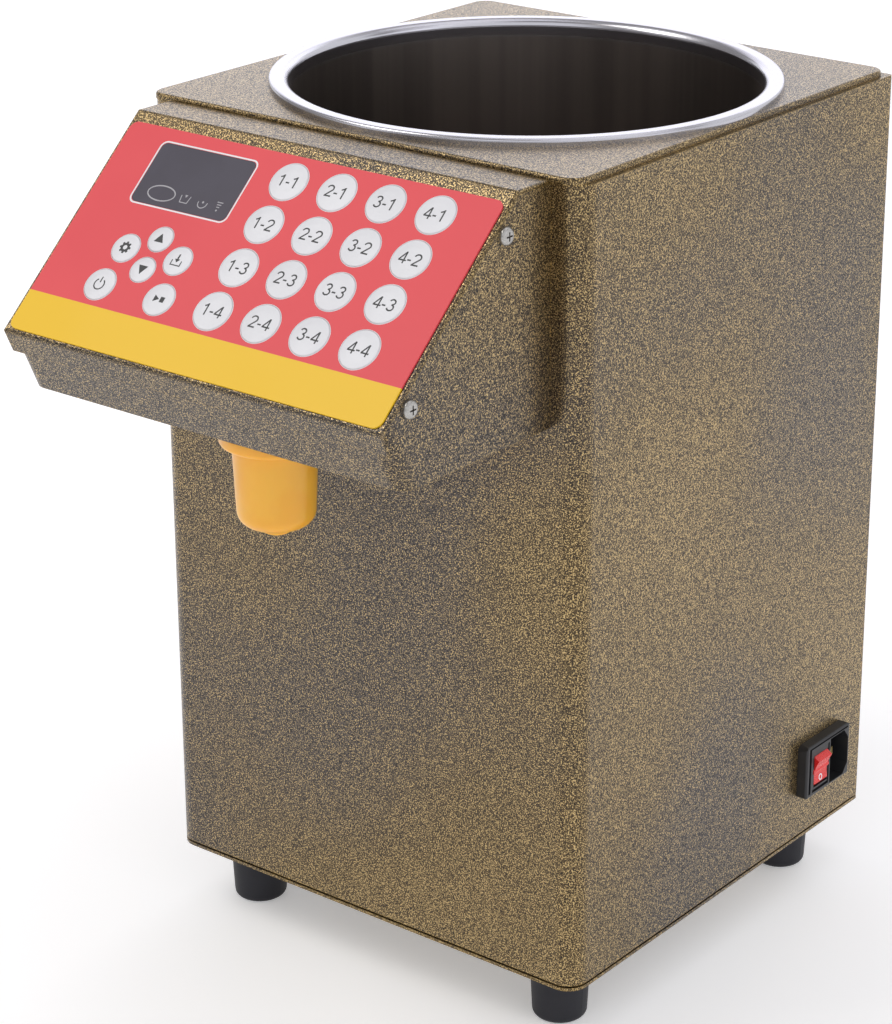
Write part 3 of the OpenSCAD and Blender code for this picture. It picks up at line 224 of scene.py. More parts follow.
def newGroup(name, inputs, outputs):
    group = bpy.data.node_groups.new(name, "ShaderNodeTree")
    for socketName, kind, value in inputs:
        socket = group.interface.new_socket(socketName, in_out="INPUT",
                                            socket_type="NodeSocket" + kind)
        socket.default_value = value
    for socketName, kind in outputs:
        group.interface.new_socket(socketName, in_out="OUTPUT",
                                   socket_type="NodeSocket" + kind)
    start = group.nodes.new("NodeGroupInput")
    end = group.nodes.new("NodeGroupOutput")
    return group, start.outputs, end.inputs


def useGroup(tree, group, wires):
    node = tree.nodes.new("ShaderNodeGroup")
    node.node_tree = group
    for name, value in wires.items():
        feed(tree, node.inputs[name], value)
    return node.outputs


def noise(tree, place, size, detail=2.0, roughness=0.5):
    wires = {"Vector": place, "Scale": calculate(tree, "DIVIDE", 1.0, size),
             "Detail": detail, "Roughness": roughness}
    return addNode(tree, "TexNoise", wires).outputs["Fac"]


# effects that several materials share

speckleEdges = {
    "drift": (0.3, 0.7),
    "shift": (-0.03, 0.03),
    "dark": (0.48, 0.39),
    "bright": (0.54, 0.64),
    "height": (0.3, 0.62),
    # edges of the broad drift that paints sheen between grey and gold on the paint
    "toneAndSheen": (0.36, 0.56),
}


def makeSpeckleGroup():
    group, given, result = newGroup(
        "hammeredSpeckle",
        [("Cell", "Float", 1.2 * mm), ("Drift", "Float", 60 * mm)],
        [("Dark", "Float"), ("Bright", "Float"), ("Height", "Float"), ("ToneAndSheen", "Float")])
    place = objectPlace(group)
    cells = noise(group, place, given["Cell"], 1.0, 0.6)
    drift = noise(group, place, given["Drift"], 1.0)
    shift = ramp(group, drift, *speckleEdges["drift"], *speckleEdges["shift"])
    shifted = calculate(group, "ADD", cells, shift)
    feed(group, result["Dark"], ramp(group, shifted, *speckleEdges["dark"]))
    feed(group, result["Bright"], ramp(group, shifted, *speckleEdges["bright"]))
    feed(group, result["Height"], ramp(group, cells, *speckleEdges["height"]))
    # the broad drift between grey and gold is painted sheen: reflections of the studio on the metallic
    # paint, painted into its colour
    feed(group, result["ToneAndSheen"], ramp(group, drift, *speckleEdges["toneAndSheen"]))
    return group


def makeGrainGroup():
    group, given, result = newGroup(
        "fineGrain",
        [("Size", "Float", 0.4 * mm), ("Blotch", "Float", 20 * mm)],
        [("Height", "Float"), ("ToneAndSheen", "Float")])
    place = objectPlace(group)
    feed(group, result["Height"], noise(group, place, given["Size"], 2.0, 0.6))
    feed(group, result["ToneAndSheen"], ramp(group, noise(group, place, given["Blotch"], 3.0), 0.35, 0.65))
    return group


def makeBrushGroup():
    group, given, result = newGroup(
        "brushedLines",
        [("Squash", "Vector", (1, 1, 1)), ("Size", "Float", 0.5 * mm)],
        [("Height", "Float"), ("ToneAndSheen", "Float")])
    stretched = addNode(group, "VectorMath", {0: objectPlace(group), 1: given["Squash"]},
                        operation="MULTIPLY").outputs[0]
    lines = noise(group, stretched, given["Size"], 3.0, 0.6)
    feed(group, result["Height"], lines)
    feed(group, result["ToneAndSheen"], ramp(group, lines, 0.3, 0.7))
    return group


# how far the bevelled normal leans at an edge, and how the lighter edge breaks up along it: on the paint
# this is partly rubbed paint and partly a painted highlight along the bends
rubAndHighlightEdges = {"lean": (0.995, 0.9), "breakup": (0.35, 0.6), "share": (0.4, 1)}


def makeEdgeGroup():
    group, given, result = newGroup(
        "edgeRubAndHighlight", [("Radius", "Float", 1.0 * mm), ("Breakup", "Float", 3 * mm)],
        [("Mask", "Float")])
    bevel = addNode(group, "Bevel", {"Radius": given["Radius"]}, samples=4).outputs[0]
    flat = addNode(group, "NewGeometry").outputs["Normal"]
    match = addNode(group, "VectorMath", {0: bevel, 1: flat}, operation="DOT_PRODUCT").outputs[1]
    edge = ramp(group, match, *rubAndHighlightEdges["lean"])
    patchy = noise(group, objectPlace(group), given["Breakup"], 3.0)
    broken = ramp(group, patchy, *rubAndHighlightEdges["breakup"], *rubAndHighlightEdges["share"])
    feed(group, result["Mask"], calculate(group, "MULTIPLY", edge, broken))
    return group


speckleGroup = makeSpeckleGroup()
grainGroup = makeGrainGroup()
brushGroup = makeBrushGroup()
edgeGroup = makeEdgeGroup()
makeFloor()
makeSky()
makeLights()
print("camera, studio and shader groups made")

# the sloping panel's own axes from a key's joint, the keys' names and the overlay's top

panelRight = Vector((1, 0, 0))
panelOut = -Vector(joints["key_1_1_press"]["axis"])
panelUp = panelOut.cross(panelRight).normalized()
keyNames = sorted(name for name in nodes if name.startswith("key_"))


def farthest(nodeName, way):
    return max((v.co for v in nodes[nodeName].data.vertices), key=lambda p: p.dot(way)).copy()


overlayTop = farthest("keypad_overlay", panelUp)

# materials of the sheet metal and the panel

# grey and gold drift across the paint as a painted sheen; edge is partly rubbed paint and partly a painted
# highlight along the bends
paint = {
    "cell": 0.58 * mm,
    "dark": (0.007, 0.005, 0.004, 1),
    "gold": (0.112, 0.073, 0.028, 1),
    "greySheen": (0.098, 0.083, 0.075, 1),
    "bright": (0.60, 0.43, 0.19, 1),
    "edge": (0.36, 0.23, 0.06, 1),
    "drift": 210 * mm,
    "edgeRadius": 1.1 * mm,
    "edgeShare": 0.75,
    "darkShare": 0.9,
    "metallic": 0.72,
    "roughness": (0.30, 0.42),
    "coat": 0.3,
    "coatRoughness": 0.25,
    "bump": 0.6,
    "relief": 0.10 * mm,
}


def paintMaterial():
    material, tree, shader = newMaterial("hammeredBronze")
    speckle = useGroup(tree, speckleGroup, {"Cell": paint["cell"], "Drift": paint["drift"]})
    # painted sheen: broad grey and gold patches stand in for reflections on the metal
    colour = blendColours(tree, speckle["ToneAndSheen"], paint["greySheen"], paint["gold"])
    colour = blendColours(tree, speckle["Bright"], colour, paint["bright"])
    # golden colour along the bends: partly rubbed paint, partly a painted highlight
    edge = useGroup(tree, edgeGroup, {"Radius": paint["edgeRadius"]})["Mask"]
    rubAndHighlight = calculate(tree, "MULTIPLY", edge, paint["edgeShare"])
    colour = blendColours(tree, rubAndHighlight, colour, paint["edge"])
    pitted = calculate(tree, "MULTIPLY", speckle["Dark"], paint["darkShare"])
    colour = blendColours(tree, pitted, colour, paint["dark"])
    feed(tree, shader.inputs["Base Color"], colour)
    shader.inputs["Metallic"].default_value = paint["metallic"]
    varyRoughness(tree, shader, speckle["Dark"], (0, 1), paint["roughness"])
    shader.inputs["Coat Weight"].default_value = paint["coat"]
    shader.inputs["Coat Roughness"].default_value = paint["coatRoughness"]
    addBump(tree, shader, speckle["Height"], paint["bump"], paint["relief"])
    return material


overlayPrint = {
    "red": (0.77, 0.070, 0.086, 1),
    "redPale": (0.81, 0.088, 0.102, 1),
    "yellow": (0.90, 0.56, 0.026, 1),
    "bandFrom": 89.6 * mm,
    "grain": 0.25 * mm,
    "blotch": 90 * mm,
    "roughness": (0.38, 0.44),
    "specular": 0.3,
    "bump": 0.12,
    "relief": 0.02 * mm,
}


def overlayMaterial():
    material, tree, shader = newMaterial("printedFilm")
    place = objectPlace(tree)
    wires = {0: place, 1: tuple(-panelUp)}
    down = addNode(tree, "VectorMath", wires, operation="DOT_PRODUCT").outputs[1]
    along = calculate(tree, "ADD", down, overlayTop.dot(panelUp))
    band = calculate(tree, "GREATER_THAN", along, overlayPrint["bandFrom"])
    wires = {"Size": overlayPrint["grain"], "Blotch": overlayPrint["blotch"]}
    grain = useGroup(tree, grainGroup, wires)
    red = blendColours(tree, grain["ToneAndSheen"], overlayPrint["red"], overlayPrint["redPale"])
    colour = blendColours(tree, band, red, overlayPrint["yellow"])
    feed(tree, shader.inputs["Base Color"], colour)
    varyRoughness(tree, shader, grain["ToneAndSheen"], (0, 1), overlayPrint["roughness"])
    shader.inputs["Specular IOR Level"].default_value = overlayPrint["specular"]
    addBump(tree, shader, grain["Height"], overlayPrint["bump"], overlayPrint["relief"])
    return material


# one recipe for moulded plastics, rubbers and plain inks

grainEdges = (0.3, 0.7)
plasticTexture = {"blotch": 18 * mm, "depth": 0.05 * mm, "spread": 0.08}


def plasticMaterial(name, colour, shade, roughness, grain=0.4 * mm, relief=0.15, extra=None):
    material, tree, shader = newMaterial(name)
    texture = useGroup(tree, grainGroup, {"Size": grain, "Blotch": plasticTexture["blotch"]})
    feed(tree, shader.inputs["Base Color"], blendColours(tree, texture["ToneAndSheen"], colour, shade))
    span = (roughness, roughness + plasticTexture["spread"])
    varyRoughness(tree, shader, texture["Height"], grainEdges, span)
    addBump(tree, shader, texture["Height"], relief, plasticTexture["depth"])
    for socketName, value in (extra or {}).items():
        shader.inputs[socketName].default_value = value
    return material


# one recipe for turned, brushed or cast metals

metalTexture = {"edgeRadius": 0.5 * mm, "edgeGain": 1.35, "depth": 0.02 * mm, "spread": 0.12}


def metalMaterial(name, colour, shade, roughness, squash, size=0.4 * mm, relief=0.2, edges=0.0):
    material, tree, shader = newMaterial(name)
    brush = useGroup(tree, brushGroup, {"Squash": squash, "Size": size})
    base = blendColours(tree, brush["ToneAndSheen"], colour, shade)
    if edges:
        edge = useGroup(tree, edgeGroup, {"Radius": metalTexture["edgeRadius"]})["Mask"]
        bright = tuple(min(1, c * metalTexture["edgeGain"]) for c in colour[:3]) + (1,)
        base = blendColours(tree, calculate(tree, "MULTIPLY", edge, edges), base, bright)
    feed(tree, shader.inputs["Base Color"], base)
    span = (roughness, roughness + metalTexture["spread"])
    varyRoughness(tree, shader, brush["Height"], grainEdges, span)
    shader.inputs["Metallic"].default_value = 1.0
    addBump(tree, shader, brush["Height"], relief, metalTexture["depth"])
    return material


# one steel: the well below the rim is painted darker and browner as painted shade and reflection, with pale
# upright bands of painted reflection
tankLook = {
    "rim": (0.56, 0.555, 0.60, 1),
    "wall": (0.32, 0.285, 0.265, 1),
    "wallPale": (0.44, 0.39, 0.36, 1),
    "shoulderDepth": 5 * mm,
    "squash": (1, 1, 0.02),
    "lines": 16 * mm,
    "roughness": (0.22, 0.30),
    "bump": 0.08,
    "relief": 0.01 * mm,
}


def tankMaterial():
    material, tree, shader = newMaterial("polishedSteel")
    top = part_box("tank")[1].z
    depth = tankLook["shoulderDepth"]
    height = addNode(tree, "SeparateXYZ", {0: objectPlace(tree)}).outputs["Z"]
    # mask of the well, where the painted shade starts below the rim
    inside = ramp(tree, height, top - depth, top - 2 * depth)
    # the brushed-lines noise, stretched upright and broad here, lays painted reflection bands down the
    # shaded wall
    brush = useGroup(tree, brushGroup, {"Squash": tankLook["squash"], "Size": tankLook["lines"]})
    wall = blendColours(tree, brush["ToneAndSheen"], tankLook["wall"], tankLook["wallPale"])
    feed(tree, shader.inputs["Base Color"], blendColours(tree, inside, tankLook["rim"], wall))
    varyRoughness(tree, shader, inside, (0, 1), tankLook["roughness"])
    shader.inputs["Metallic"].default_value = 1.0
    addBump(tree, shader, brush["Height"], tankLook["bump"], tankLook["relief"])
    return material


siliconeLook = {
    "colour": (0.84, 0.82, 0.76, 1),
    "shade": (0.756, 0.738, 0.684, 1),
    "blotch": 15 * mm,
    "roughness": (0.35, 0.41),
    "transmission": 0.45,
    "ior": 1.45,
}


def siliconeMaterial():
    material, tree, shader = newMaterial("milkySilicone")
    toneAndSheen = useGroup(tree, grainGroup, {"Blotch": siliconeLook["blotch"]})["ToneAndSheen"]
    colour = blendColours(tree, toneAndSheen, siliconeLook["colour"], siliconeLook["shade"])
    feed(tree, shader.inputs["Base Color"], colour)
    varyRoughness(tree, shader, toneAndSheen, (0, 1), siliconeLook["roughness"])
    shader.inputs["Transmission Weight"].default_value = siliconeLook["transmission"]
    shader.inputs["IOR"].default_value = siliconeLook["ior"]
    return material


boardLook = {
    "mask": (0.012, 0.11, 0.045, 1),
    "trace": (0.03, 0.2, 0.09, 1),
    "pitch": 2.54 * mm,
    "bricks": {"Mortar Size": 0.09, "Brick Width": 3.0, "Row Height": 0.5},
    "roughness": (0.3, 0.42),
    "bump": 0.3,
    "relief": 0.03 * mm,
}


def boardMaterial():
    material, tree, shader = newMaterial("solderMask")
    wires = {"Vector": objectPlace(tree), "Scale": 1 / boardLook["pitch"], **boardLook["bricks"]}
    tracks = addNode(tree, "TexBrick", wires).outputs["Fac"]
    colour = blendColours(tree, tracks, boardLook["mask"], boardLook["trace"])
    feed(tree, shader.inputs["Base Color"], colour)
    varyRoughness(tree, shader, tracks, (0, 1), boardLook["roughness"])
    addBump(tree, shader, tracks, boardLook["bump"], boardLook["relief"])
    return material


plasticFinishes = {
    "rubber": {"colour": (0.011, 0.011, 0.016, 1), "shade": (0.016, 0.016, 0.022, 1),
               "roughness": 0.5, "grain": 0.5 * mm, "relief": 0.25,
               "extra": {"Specular IOR Level": 0.35}},
    "seal": {"colour": (0.02, 0.02, 0.02, 1), "shade": (0.03, 0.03, 0.03, 1), "roughness": 0.6},
    "amber": {"colour": (0.95, 0.46, 0.045, 1), "shade": (0.92, 0.42, 0.035, 1), "roughness": 0.28,
              "grain": 1.5 * mm, "relief": 0.04,
              "extra": {"Subsurface Weight": 0.35, "Subsurface Scale": 0.006,
                        "Subsurface Radius": (1.0, 0.5, 0.15)}},
    "blackPlastic": {"colour": (0.014, 0.014, 0.016, 1), "shade": (0.022, 0.022, 0.024, 1),
                     "roughness": 0.34, "grain": 0.45 * mm, "relief": 0.12},
    "redPlastic": {"colour": (0.78, 0.03, 0.025, 1), "shade": (0.70, 0.02, 0.02, 1),
                   "roughness": 0.22, "relief": 0.04,
                   "extra": {"Subsurface Weight": 0.2, "Subsurface Scale": 0.003,
                             "Subsurface Radius": (1.0, 0.15, 0.1)}},
    "whitePlastic": {"colour": (0.76, 0.765, 0.80, 1), "shade": (0.72, 0.725, 0.76, 1),
                     "roughness": 0.36, "grain": 0.3 * mm, "relief": 0.06,
                     "extra": {"Coat Weight": 0.15, "Coat Roughness": 0.25}},
    "smokedWindow": {"colour": (0.062, 0.056, 0.080, 1), "shade": (0.056, 0.050, 0.072, 1),
                     "roughness": 0.3, "relief": 0.02, "extra": {"Specular IOR Level": 0.25}},
    "greyPlastic": {"colour": (0.06, 0.06, 0.065, 1), "shade": (0.08, 0.08, 0.085, 1), "roughness": 0.45},
    "darkInk": {"colour": (0.045, 0.047, 0.05, 1), "shade": (0.055, 0.057, 0.06, 1), "roughness": 0.55},
    "paleInk": {"colour": (0.45, 0.44, 0.47, 1), "shade": (0.40, 0.39, 0.42, 1), "roughness": 0.5},
    "whiteInk": {"colour": (0.86, 0.85, 0.87, 1), "shade": (0.82, 0.81, 0.83, 1), "roughness": 0.5},
}
metalFinishes = {
    "screwSteel": {"colour": (0.50, 0.49, 0.47, 1), "shade": (0.38, 0.37, 0.35, 1), "roughness": 0.24,
                   "squash": (1, 1, 1), "edges": 0.6},
    "castAluminium": {"colour": (0.55, 0.56, 0.57, 1), "shade": (0.45, 0.46, 0.47, 1),
                      "roughness": 0.42, "squash": (1, 1, 1), "size": 0.8 * mm, "relief": 0.5, "edges": 0.5},
    "gearSteel": {"colour": (0.60, 0.57, 0.50, 1), "shade": (0.48, 0.45, 0.39, 1), "roughness": 0.22,
                  "squash": (1, 0.06, 1), "edges": 0.6},
    "turnedAluminium": {"colour": (0.66, 0.67, 0.69, 1), "shade": (0.55, 0.56, 0.58, 1),
                        "roughness": 0.25, "squash": (0.06, 1, 0.06), "size": 0.3 * mm},
    "motorCan": {"colour": (0.10, 0.10, 0.11, 1), "shade": (0.14, 0.14, 0.15, 1), "roughness": 0.4,
                 "squash": (1, 0.1, 1), "edges": 0.4},
    "zincPlate": {"colour": (0.58, 0.59, 0.55, 1), "shade": (0.46, 0.45, 0.40, 1), "roughness": 0.32,
                  "squash": (1, 1, 1), "size": 7 * mm, "relief": 0.08, "edges": 0.3},
    "galvanised": {"colour": (0.63, 0.64, 0.66, 1), "shade": (0.50, 0.51, 0.53, 1), "roughness": 0.34,
                   "squash": (1, 1, 1), "size": 5 * mm, "relief": 0.06, "edges": 0.3},
    "brass": {"colour": (0.76, 0.58, 0.26, 1), "shade": (0.66, 0.48, 0.2, 1), "roughness": 0.25,
              "squash": (0.1, 1, 1)},
}
finishes = {name: plasticMaterial(name, **values) for name, values in plasticFinishes.items()}
finishes.update({name: metalMaterial(name, **values) for name, values in metalFinishes.items()})
finishes["paint"] = paintMaterial()
finishes["overlay"] = overlayMaterial()
finishes["tank"] = tankMaterial()
finishes["silicone"] = siliconeMaterial()
finishes["board"] = boardMaterial()
print("materials made:", len(finishes))

# each node's finish

nodeFinishes = {
    "paint": ["body_shell", "rear_panel", "top_plate", "base_plate", "head_shell", "front_cover"],
    "rubber": ["feet"],
    "screwSteel": ["foot_screws", "chassis_screws", "pump_screws", "board_screws", "hose_clips"],
    "tank": ["tank"],
    "turnedAluminium": ["tank_outlet", "outlet_nut", "shaft_coupling"],
    "seal": ["outlet_gasket", "shaft_seal"],
    "silicone": ["suction_hose", "delivery_pipe"],
    "amber": ["nozzle"],
    "castAluminium": ["pump_body", "pump_cover"],
    "gearSteel": ["drive_gear", "driven_gear", "drive_shaft", "motor_shaft"],
    "motorCan": ["motor"],
    "zincPlate": ["pump_bracket"],
    "galvanised": ["power_supply"],
    "blackPlastic": ["inlet_housing", "tact_switches"],
    "greyPlastic": ["display_module"],
    "brass": ["inlet_blades"],
    "redPlastic": ["rocker"],
    "overlay": ["keypad_overlay"],
    "smokedWindow": ["display_window"],
    "board": ["control_board"],
    "whitePlastic": keyNames,
}


def dressNodes():
    for finish, names in nodeFinishes.items():
        for name in names:
            materials = nodes[name].data.materials
            materials.clear()
            materials.append(finishes[finish])
    bare = set(nodes) - {name for names in nodeFinishes.values() for name in names}
    if bare:
        print("nodes without a finish:", sorted(bare))


dressNodes()
print("nodes dressed")

# what each new piece gets: outward normals, its object and its body

def addPiece(name, mesh, shape, body):
    bmesh.ops.recalc_face_normals(shape, faces=shape.faces)
    shape.to_mesh(mesh)
    shape.free()
    piece = bpy.data.objects.new(name, mesh)
    scene.collection.objects.link(piece)
    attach(piece, body)


# thin prints, laid on the surface of a node: made flat, then dropped on to it

inkLayer = {
    "thickness": 0.03 * mm,
    "lift": 0.003 * mm,
    "step": 1.1 * mm,
    "dropFrom": 4 * mm,
    "tolerance": 1e-7,
}


def surfaceOf(nodeName):
    mesh = nodes[nodeName].data
    return BVHTree.FromPolygons([v.co for v in mesh.vertices], [p.vertices for p in mesh.polygons])


def cutIntoSteps(shape, axis):
    places = [v.co[axis] for v in shape.verts]
    across = Vector((0, 0, 0))
    across[axis] = 1
    place = min(places) + inkLayer["step"]
    while place < max(places):
        parts = shape.verts[:] + shape.edges[:] + shape.faces[:]
        bmesh.ops.bisect_plane(shape, geom=parts, dist=inkLayer["tolerance"],
                               plane_co=across * place, plane_no=across)
        place += inkLayer["step"]


def layPrint(name, outlines, centre, right, up, nodeName, body, finish):
    out = right.cross(up)
    tree = surfaceOf(nodeName)
    mesh = bpy.data.meshes.new(name)
    shape = bmesh.new()
    for points in outlines:
        shape.faces.new([shape.verts.new((x * mm, y * mm, 0)) for x, y in points])
    shape.normal_update()
    bmesh.ops.triangulate(shape, faces=shape.faces[:], ngon_method="EAR_CLIP")
    cutIntoSteps(shape, 0)
    cutIntoSteps(shape, 1)
    raised = bmesh.ops.extrude_face_region(shape, geom=shape.faces[:], use_keep_orig=True)["geom"]
    for v in [part for part in raised if isinstance(part, bmesh.types.BMVert)]:
        v.co.z = inkLayer["thickness"]
    for v in shape.verts:
        spot = centre + right * v.co.x + up * v.co.y
        start = spot + out * inkLayer["dropFrom"]
        hit = tree.ray_cast(start, -out)[0] or tree.find_nearest(spot)[0]
        v.co = hit + out * (v.co.z + inkLayer["lift"])
    mesh.materials.append(finishes[finish])
    addPiece(name, mesh, shape, body)


def stroke(points, width):
    left, right = [], []
    for k, (x, y) in enumerate(points):
        before, after = points[max(k - 1, 0)], points[min(k + 1, len(points) - 1)]
        ways = [Vector((b[0] - a[0], b[1] - a[1])).normalized()
                for a, b in ((before, (x, y)), ((x, y), after)) if a != b]
        along = sum(ways, Vector((0, 0))).normalized()
        reach = width / 2 / max(0.5, along.dot(ways[0]))
        left.append((x - along.y * reach, y + along.x * reach))
        right.append((x + along.y * reach, y - along.x * reach))
    return left + right[::-1]


def arc(x, y, radius, start, end, steps=24):
    turns = [math.radians(start + (end - start) * i / steps) for i in range(steps + 1)]
    return [(x + radius * math.cos(t), y + radius * math.sin(t)) for t in turns]


def circle(x, y, radius, steps=40):
    return arc(x, y, radius, 0, 360 - 360 / steps, steps - 1)


def ellipse(x, y, width, height, steps=56):
    turns = [math.tau * i / steps for i in range(steps)]
    return [(x + width / 2 * math.cos(t), y + height / 2 * math.sin(t)) for t in turns]


def rectangle(x, y, width, height):
    w, h = width / 2, height / 2
    return [(x - w, y - h), (x + w, y - h), (x + w, y + h), (x - w, y + h)]


def roundedRectangle(width, height, radius):
    w, h = width / 2 - radius, height / 2 - radius
    corners = [(w, h, 0), (-w, h, 90), (-w, -h, 180), (w, -h, 270)]
    return [p for x, y, start in corners for p in arc(x, y, radius, start, start + 90, 8)]


def arcBand(x, y, outer, inner, start, end, steps=24):
    return arc(x, y, outer, start, end, steps) + arc(x, y, inner, end, start, steps)


def bandBetween(outer, inner):
    half = len(outer) // 2
    return [outer[:half + 1] + inner[:half + 1][::-1],
            outer[half:] + outer[:1] + inner[:1] + inner[half:][::-1]]


# figures of the dose keys: strokes on a height of one, sizes in millimetres

figureStrokes = {
    "1": [[(0.37, 0), (0.37, 1)], [(0.37, 0.95), (0.26, 0.83), (0.10, 0.75)]],
    "2": [arc(0.32, 0.71, 0.25, 172, -38, 18) + [(0.30, 0.30), (0.10, 0.05)],
          [(0.05, 0.045), (0.60, 0.045)]],
    "3": [arc(0.31, 0.745, 0.215, 165, -80, 16), arc(0.31, 0.285, 0.245, 90, -160, 18)],
    "4": [[(0.46, 0.98), (0.06, 0.27)], [(0.03, 0.27), (0.66, 0.27)], [(0.47, 0), (0.47, 1)]],
    "-": [[(0.03, 0.36), (0.32, 0.36)]],
}
figureSize = {"height": 5.6, "width": 1.12, "pen": 0.68, "dash": 0.42, "digit": 0.70, "inset": 0.03}


def figures(words):
    height, pen = figureSize["height"], figureSize["pen"]
    wide = height * figureSize["width"]
    steps = [figureSize["dash" if sign == "-" else "digit"] for sign in words]
    place = -sum(steps) / 2 + figureSize["inset"]
    outlines = []
    for sign, step in zip(words, steps):
        for path in figureStrokes[sign]:
            outlines.append(stroke([((place + x) * wide, (y - 0.5) * height) for x, y in path], pen))
        place += step
    return outlines


# signs on the function keys, in millimetres about the key's centre

def triangle(x, y, size, turn):
    return arc(x, y, size, turn, turn + 240, 2)


def gearOutline(teeth, tip, root):
    points = []
    for k in range(teeth):
        for share, r in ((-0.32, root), (-0.2, tip), (0.2, tip), (0.32, root)):
            t = math.radians((k + share) * 360 / teeth)
            points.append((r * math.cos(t), r * math.sin(t)))
    return points


signs = {
    "key_up": [triangle(0, -0.3, 2.9, 90)],
    "key_down": [triangle(0, 0.3, 2.9, -90)],
    "key_power": [arcBand(0, -0.2, 2.9, 2.3, 125, 415), rectangle(0, 2.0, 0.6, 2.8)],
    "key_setup": bandBetween(gearOutline(8, 3.0, 2.3), circle(0, 0, 1.1, 32)),
    "key_storage": [[(-0.4, 3.0), (0.4, 3.0), (0.4, 0.6), (1.4, 0.6), (0, -1.1), (-1.4, 0.6),
                     (-0.4, 0.6)],
                    [(-2.8, 0), (-2.3, 0), (-2.3, -2.2), (2.3, -2.2), (2.3, 0), (2.8, 0),
                     (2.8, -2.7), (-2.8, -2.7)]],
    "key_run": [triangle(-1.5, 0, 1.9, 0), rectangle(2.1, 0, 2.2, 2.6)],
}


def printKeys():
    for name in keyNames:
        outlines = signs[name] if name in signs else figures("-".join(name.split("_")[1:]))
        crown = farthest(name, panelOut)
        layPrint(name + "_print", outlines, crown, panelRight, panelUp, name, name, "darkInk")


printKeys()
print("keys printed")

# the display: white border on the overlay, pale ring and signs on the window, in millimetres

displayPrint = {
    "border": 0.75,
    "gap": 0.25,
    "corner": 3.2,
    "ring": {"x": -12.6, "y": -8.9, "width": 15.8, "height": 8.0, "line": 0.6},
    "signs": {"x": (1.0, 11.2, 20.0), "y": -9.0, "pen": 0.42, "bar": 0.45},
}


def topFace(nodeName, depth=0.01 * mm):
    verts = [v.co for v in nodes[nodeName].data.vertices]
    top = max(p.dot(panelOut) for p in verts)
    face = [p for p in verts if p.dot(panelOut) > top - depth]
    across = [p.x for p in face]
    along = [p.dot(panelUp) for p in face]
    centre = (panelRight * (min(across) + max(across)) / 2 + panelOut * top
              + panelUp * (min(along) + max(along)) / 2)
    return centre, (max(across) - min(across)) / mm, (max(along) - min(along)) / mm


def cupSign():
    sides = [(-2.6, 1.6), (-2.0, -1.9), (2.0, -1.9), (2.6, 1.6)]
    return [stroke(sides, displayPrint["signs"]["pen"]), triangle(0, 1.5, 0.9, -90)]


def dialSign():
    return [arcBand(0, 0, 2.7, 2.25, 170, 370), circle(0, 0.4, 0.55, 16)]


def levelSign():
    bar = displayPrint["signs"]["bar"]
    bars = [rectangle(0, 2.1 - 1.2 * i, 3.2 - i * 0.8, bar) for i in range(3)]
    return bars + [circle(0, -1.9, bar, 16)]


def displaySigns():
    row = displayPrint["signs"]
    return [[(x + a, row["y"] + b) for a, b in outline]
            for x, sign in zip(row["x"], (cupSign, dialSign, levelSign)) for outline in sign()]


def printDisplay():
    centre, width, height = topFace("display_window")
    width += 2 * displayPrint["gap"]
    height += 2 * displayPrint["gap"]
    edge, corner = displayPrint["border"], displayPrint["corner"]
    ring = displayPrint["ring"]
    border = bandBetween(roundedRectangle(width + 2 * edge, height + 2 * edge, corner + edge * 0.5),
                         roundedRectangle(width, height, corner - edge * 0.3))
    layPrint("display_border", border, centre, panelRight, panelUp, "keypad_overlay", "cabinet",
             "whiteInk")
    line = 2 * ring["line"]
    oval = bandBetween(ellipse(ring["x"], ring["y"], ring["width"], ring["height"]),
                       ellipse(ring["x"], ring["y"], ring["width"] - line, ring["height"] - line))
    layPrint("display_marks", oval + displaySigns(), centre, panelRight, panelUp,
             "display_window", "cabinet", "paleInk")


printDisplay()

# marks of the rocker in millimetres: the ring lies on the lower face, but the drop starts
# too low for the raised upper end, so the bar lies inside the rocker and isn't seen

rockerMarks = {"off": -5.0, "on": 5.0, "size": 3.0, "line": 0.6, "tall": 1.15}


def printRocker():
    right, up = Vector((0, 1, 0)), Vector((0, 0, 1))
    low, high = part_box("rocker")
    centre = (low + high) / 2
    size, line, y = rockerMarks["size"], rockerMarks["line"], rockerMarks["off"]
    tall = size * rockerMarks["tall"]
    ring = bandBetween(ellipse(0, y, size, tall), ellipse(0, y, size - 2 * line, tall - 2 * line))
    layPrint("rocker_off_mark", ring, centre, right, up, "rocker", "rocker", "whiteInk")
    layPrint("rocker_on_mark", [rectangle(0, rockerMarks["on"], line, size)], centre, right, up,
             "rocker", "rocker", "whiteInk")


printRocker()
print("display and rocker printed")

# what repeats: rings and slot lips of round wire, set out on points and scaled there

wireSteps = {"ring": 48, "wire": 8, "corner": 6}


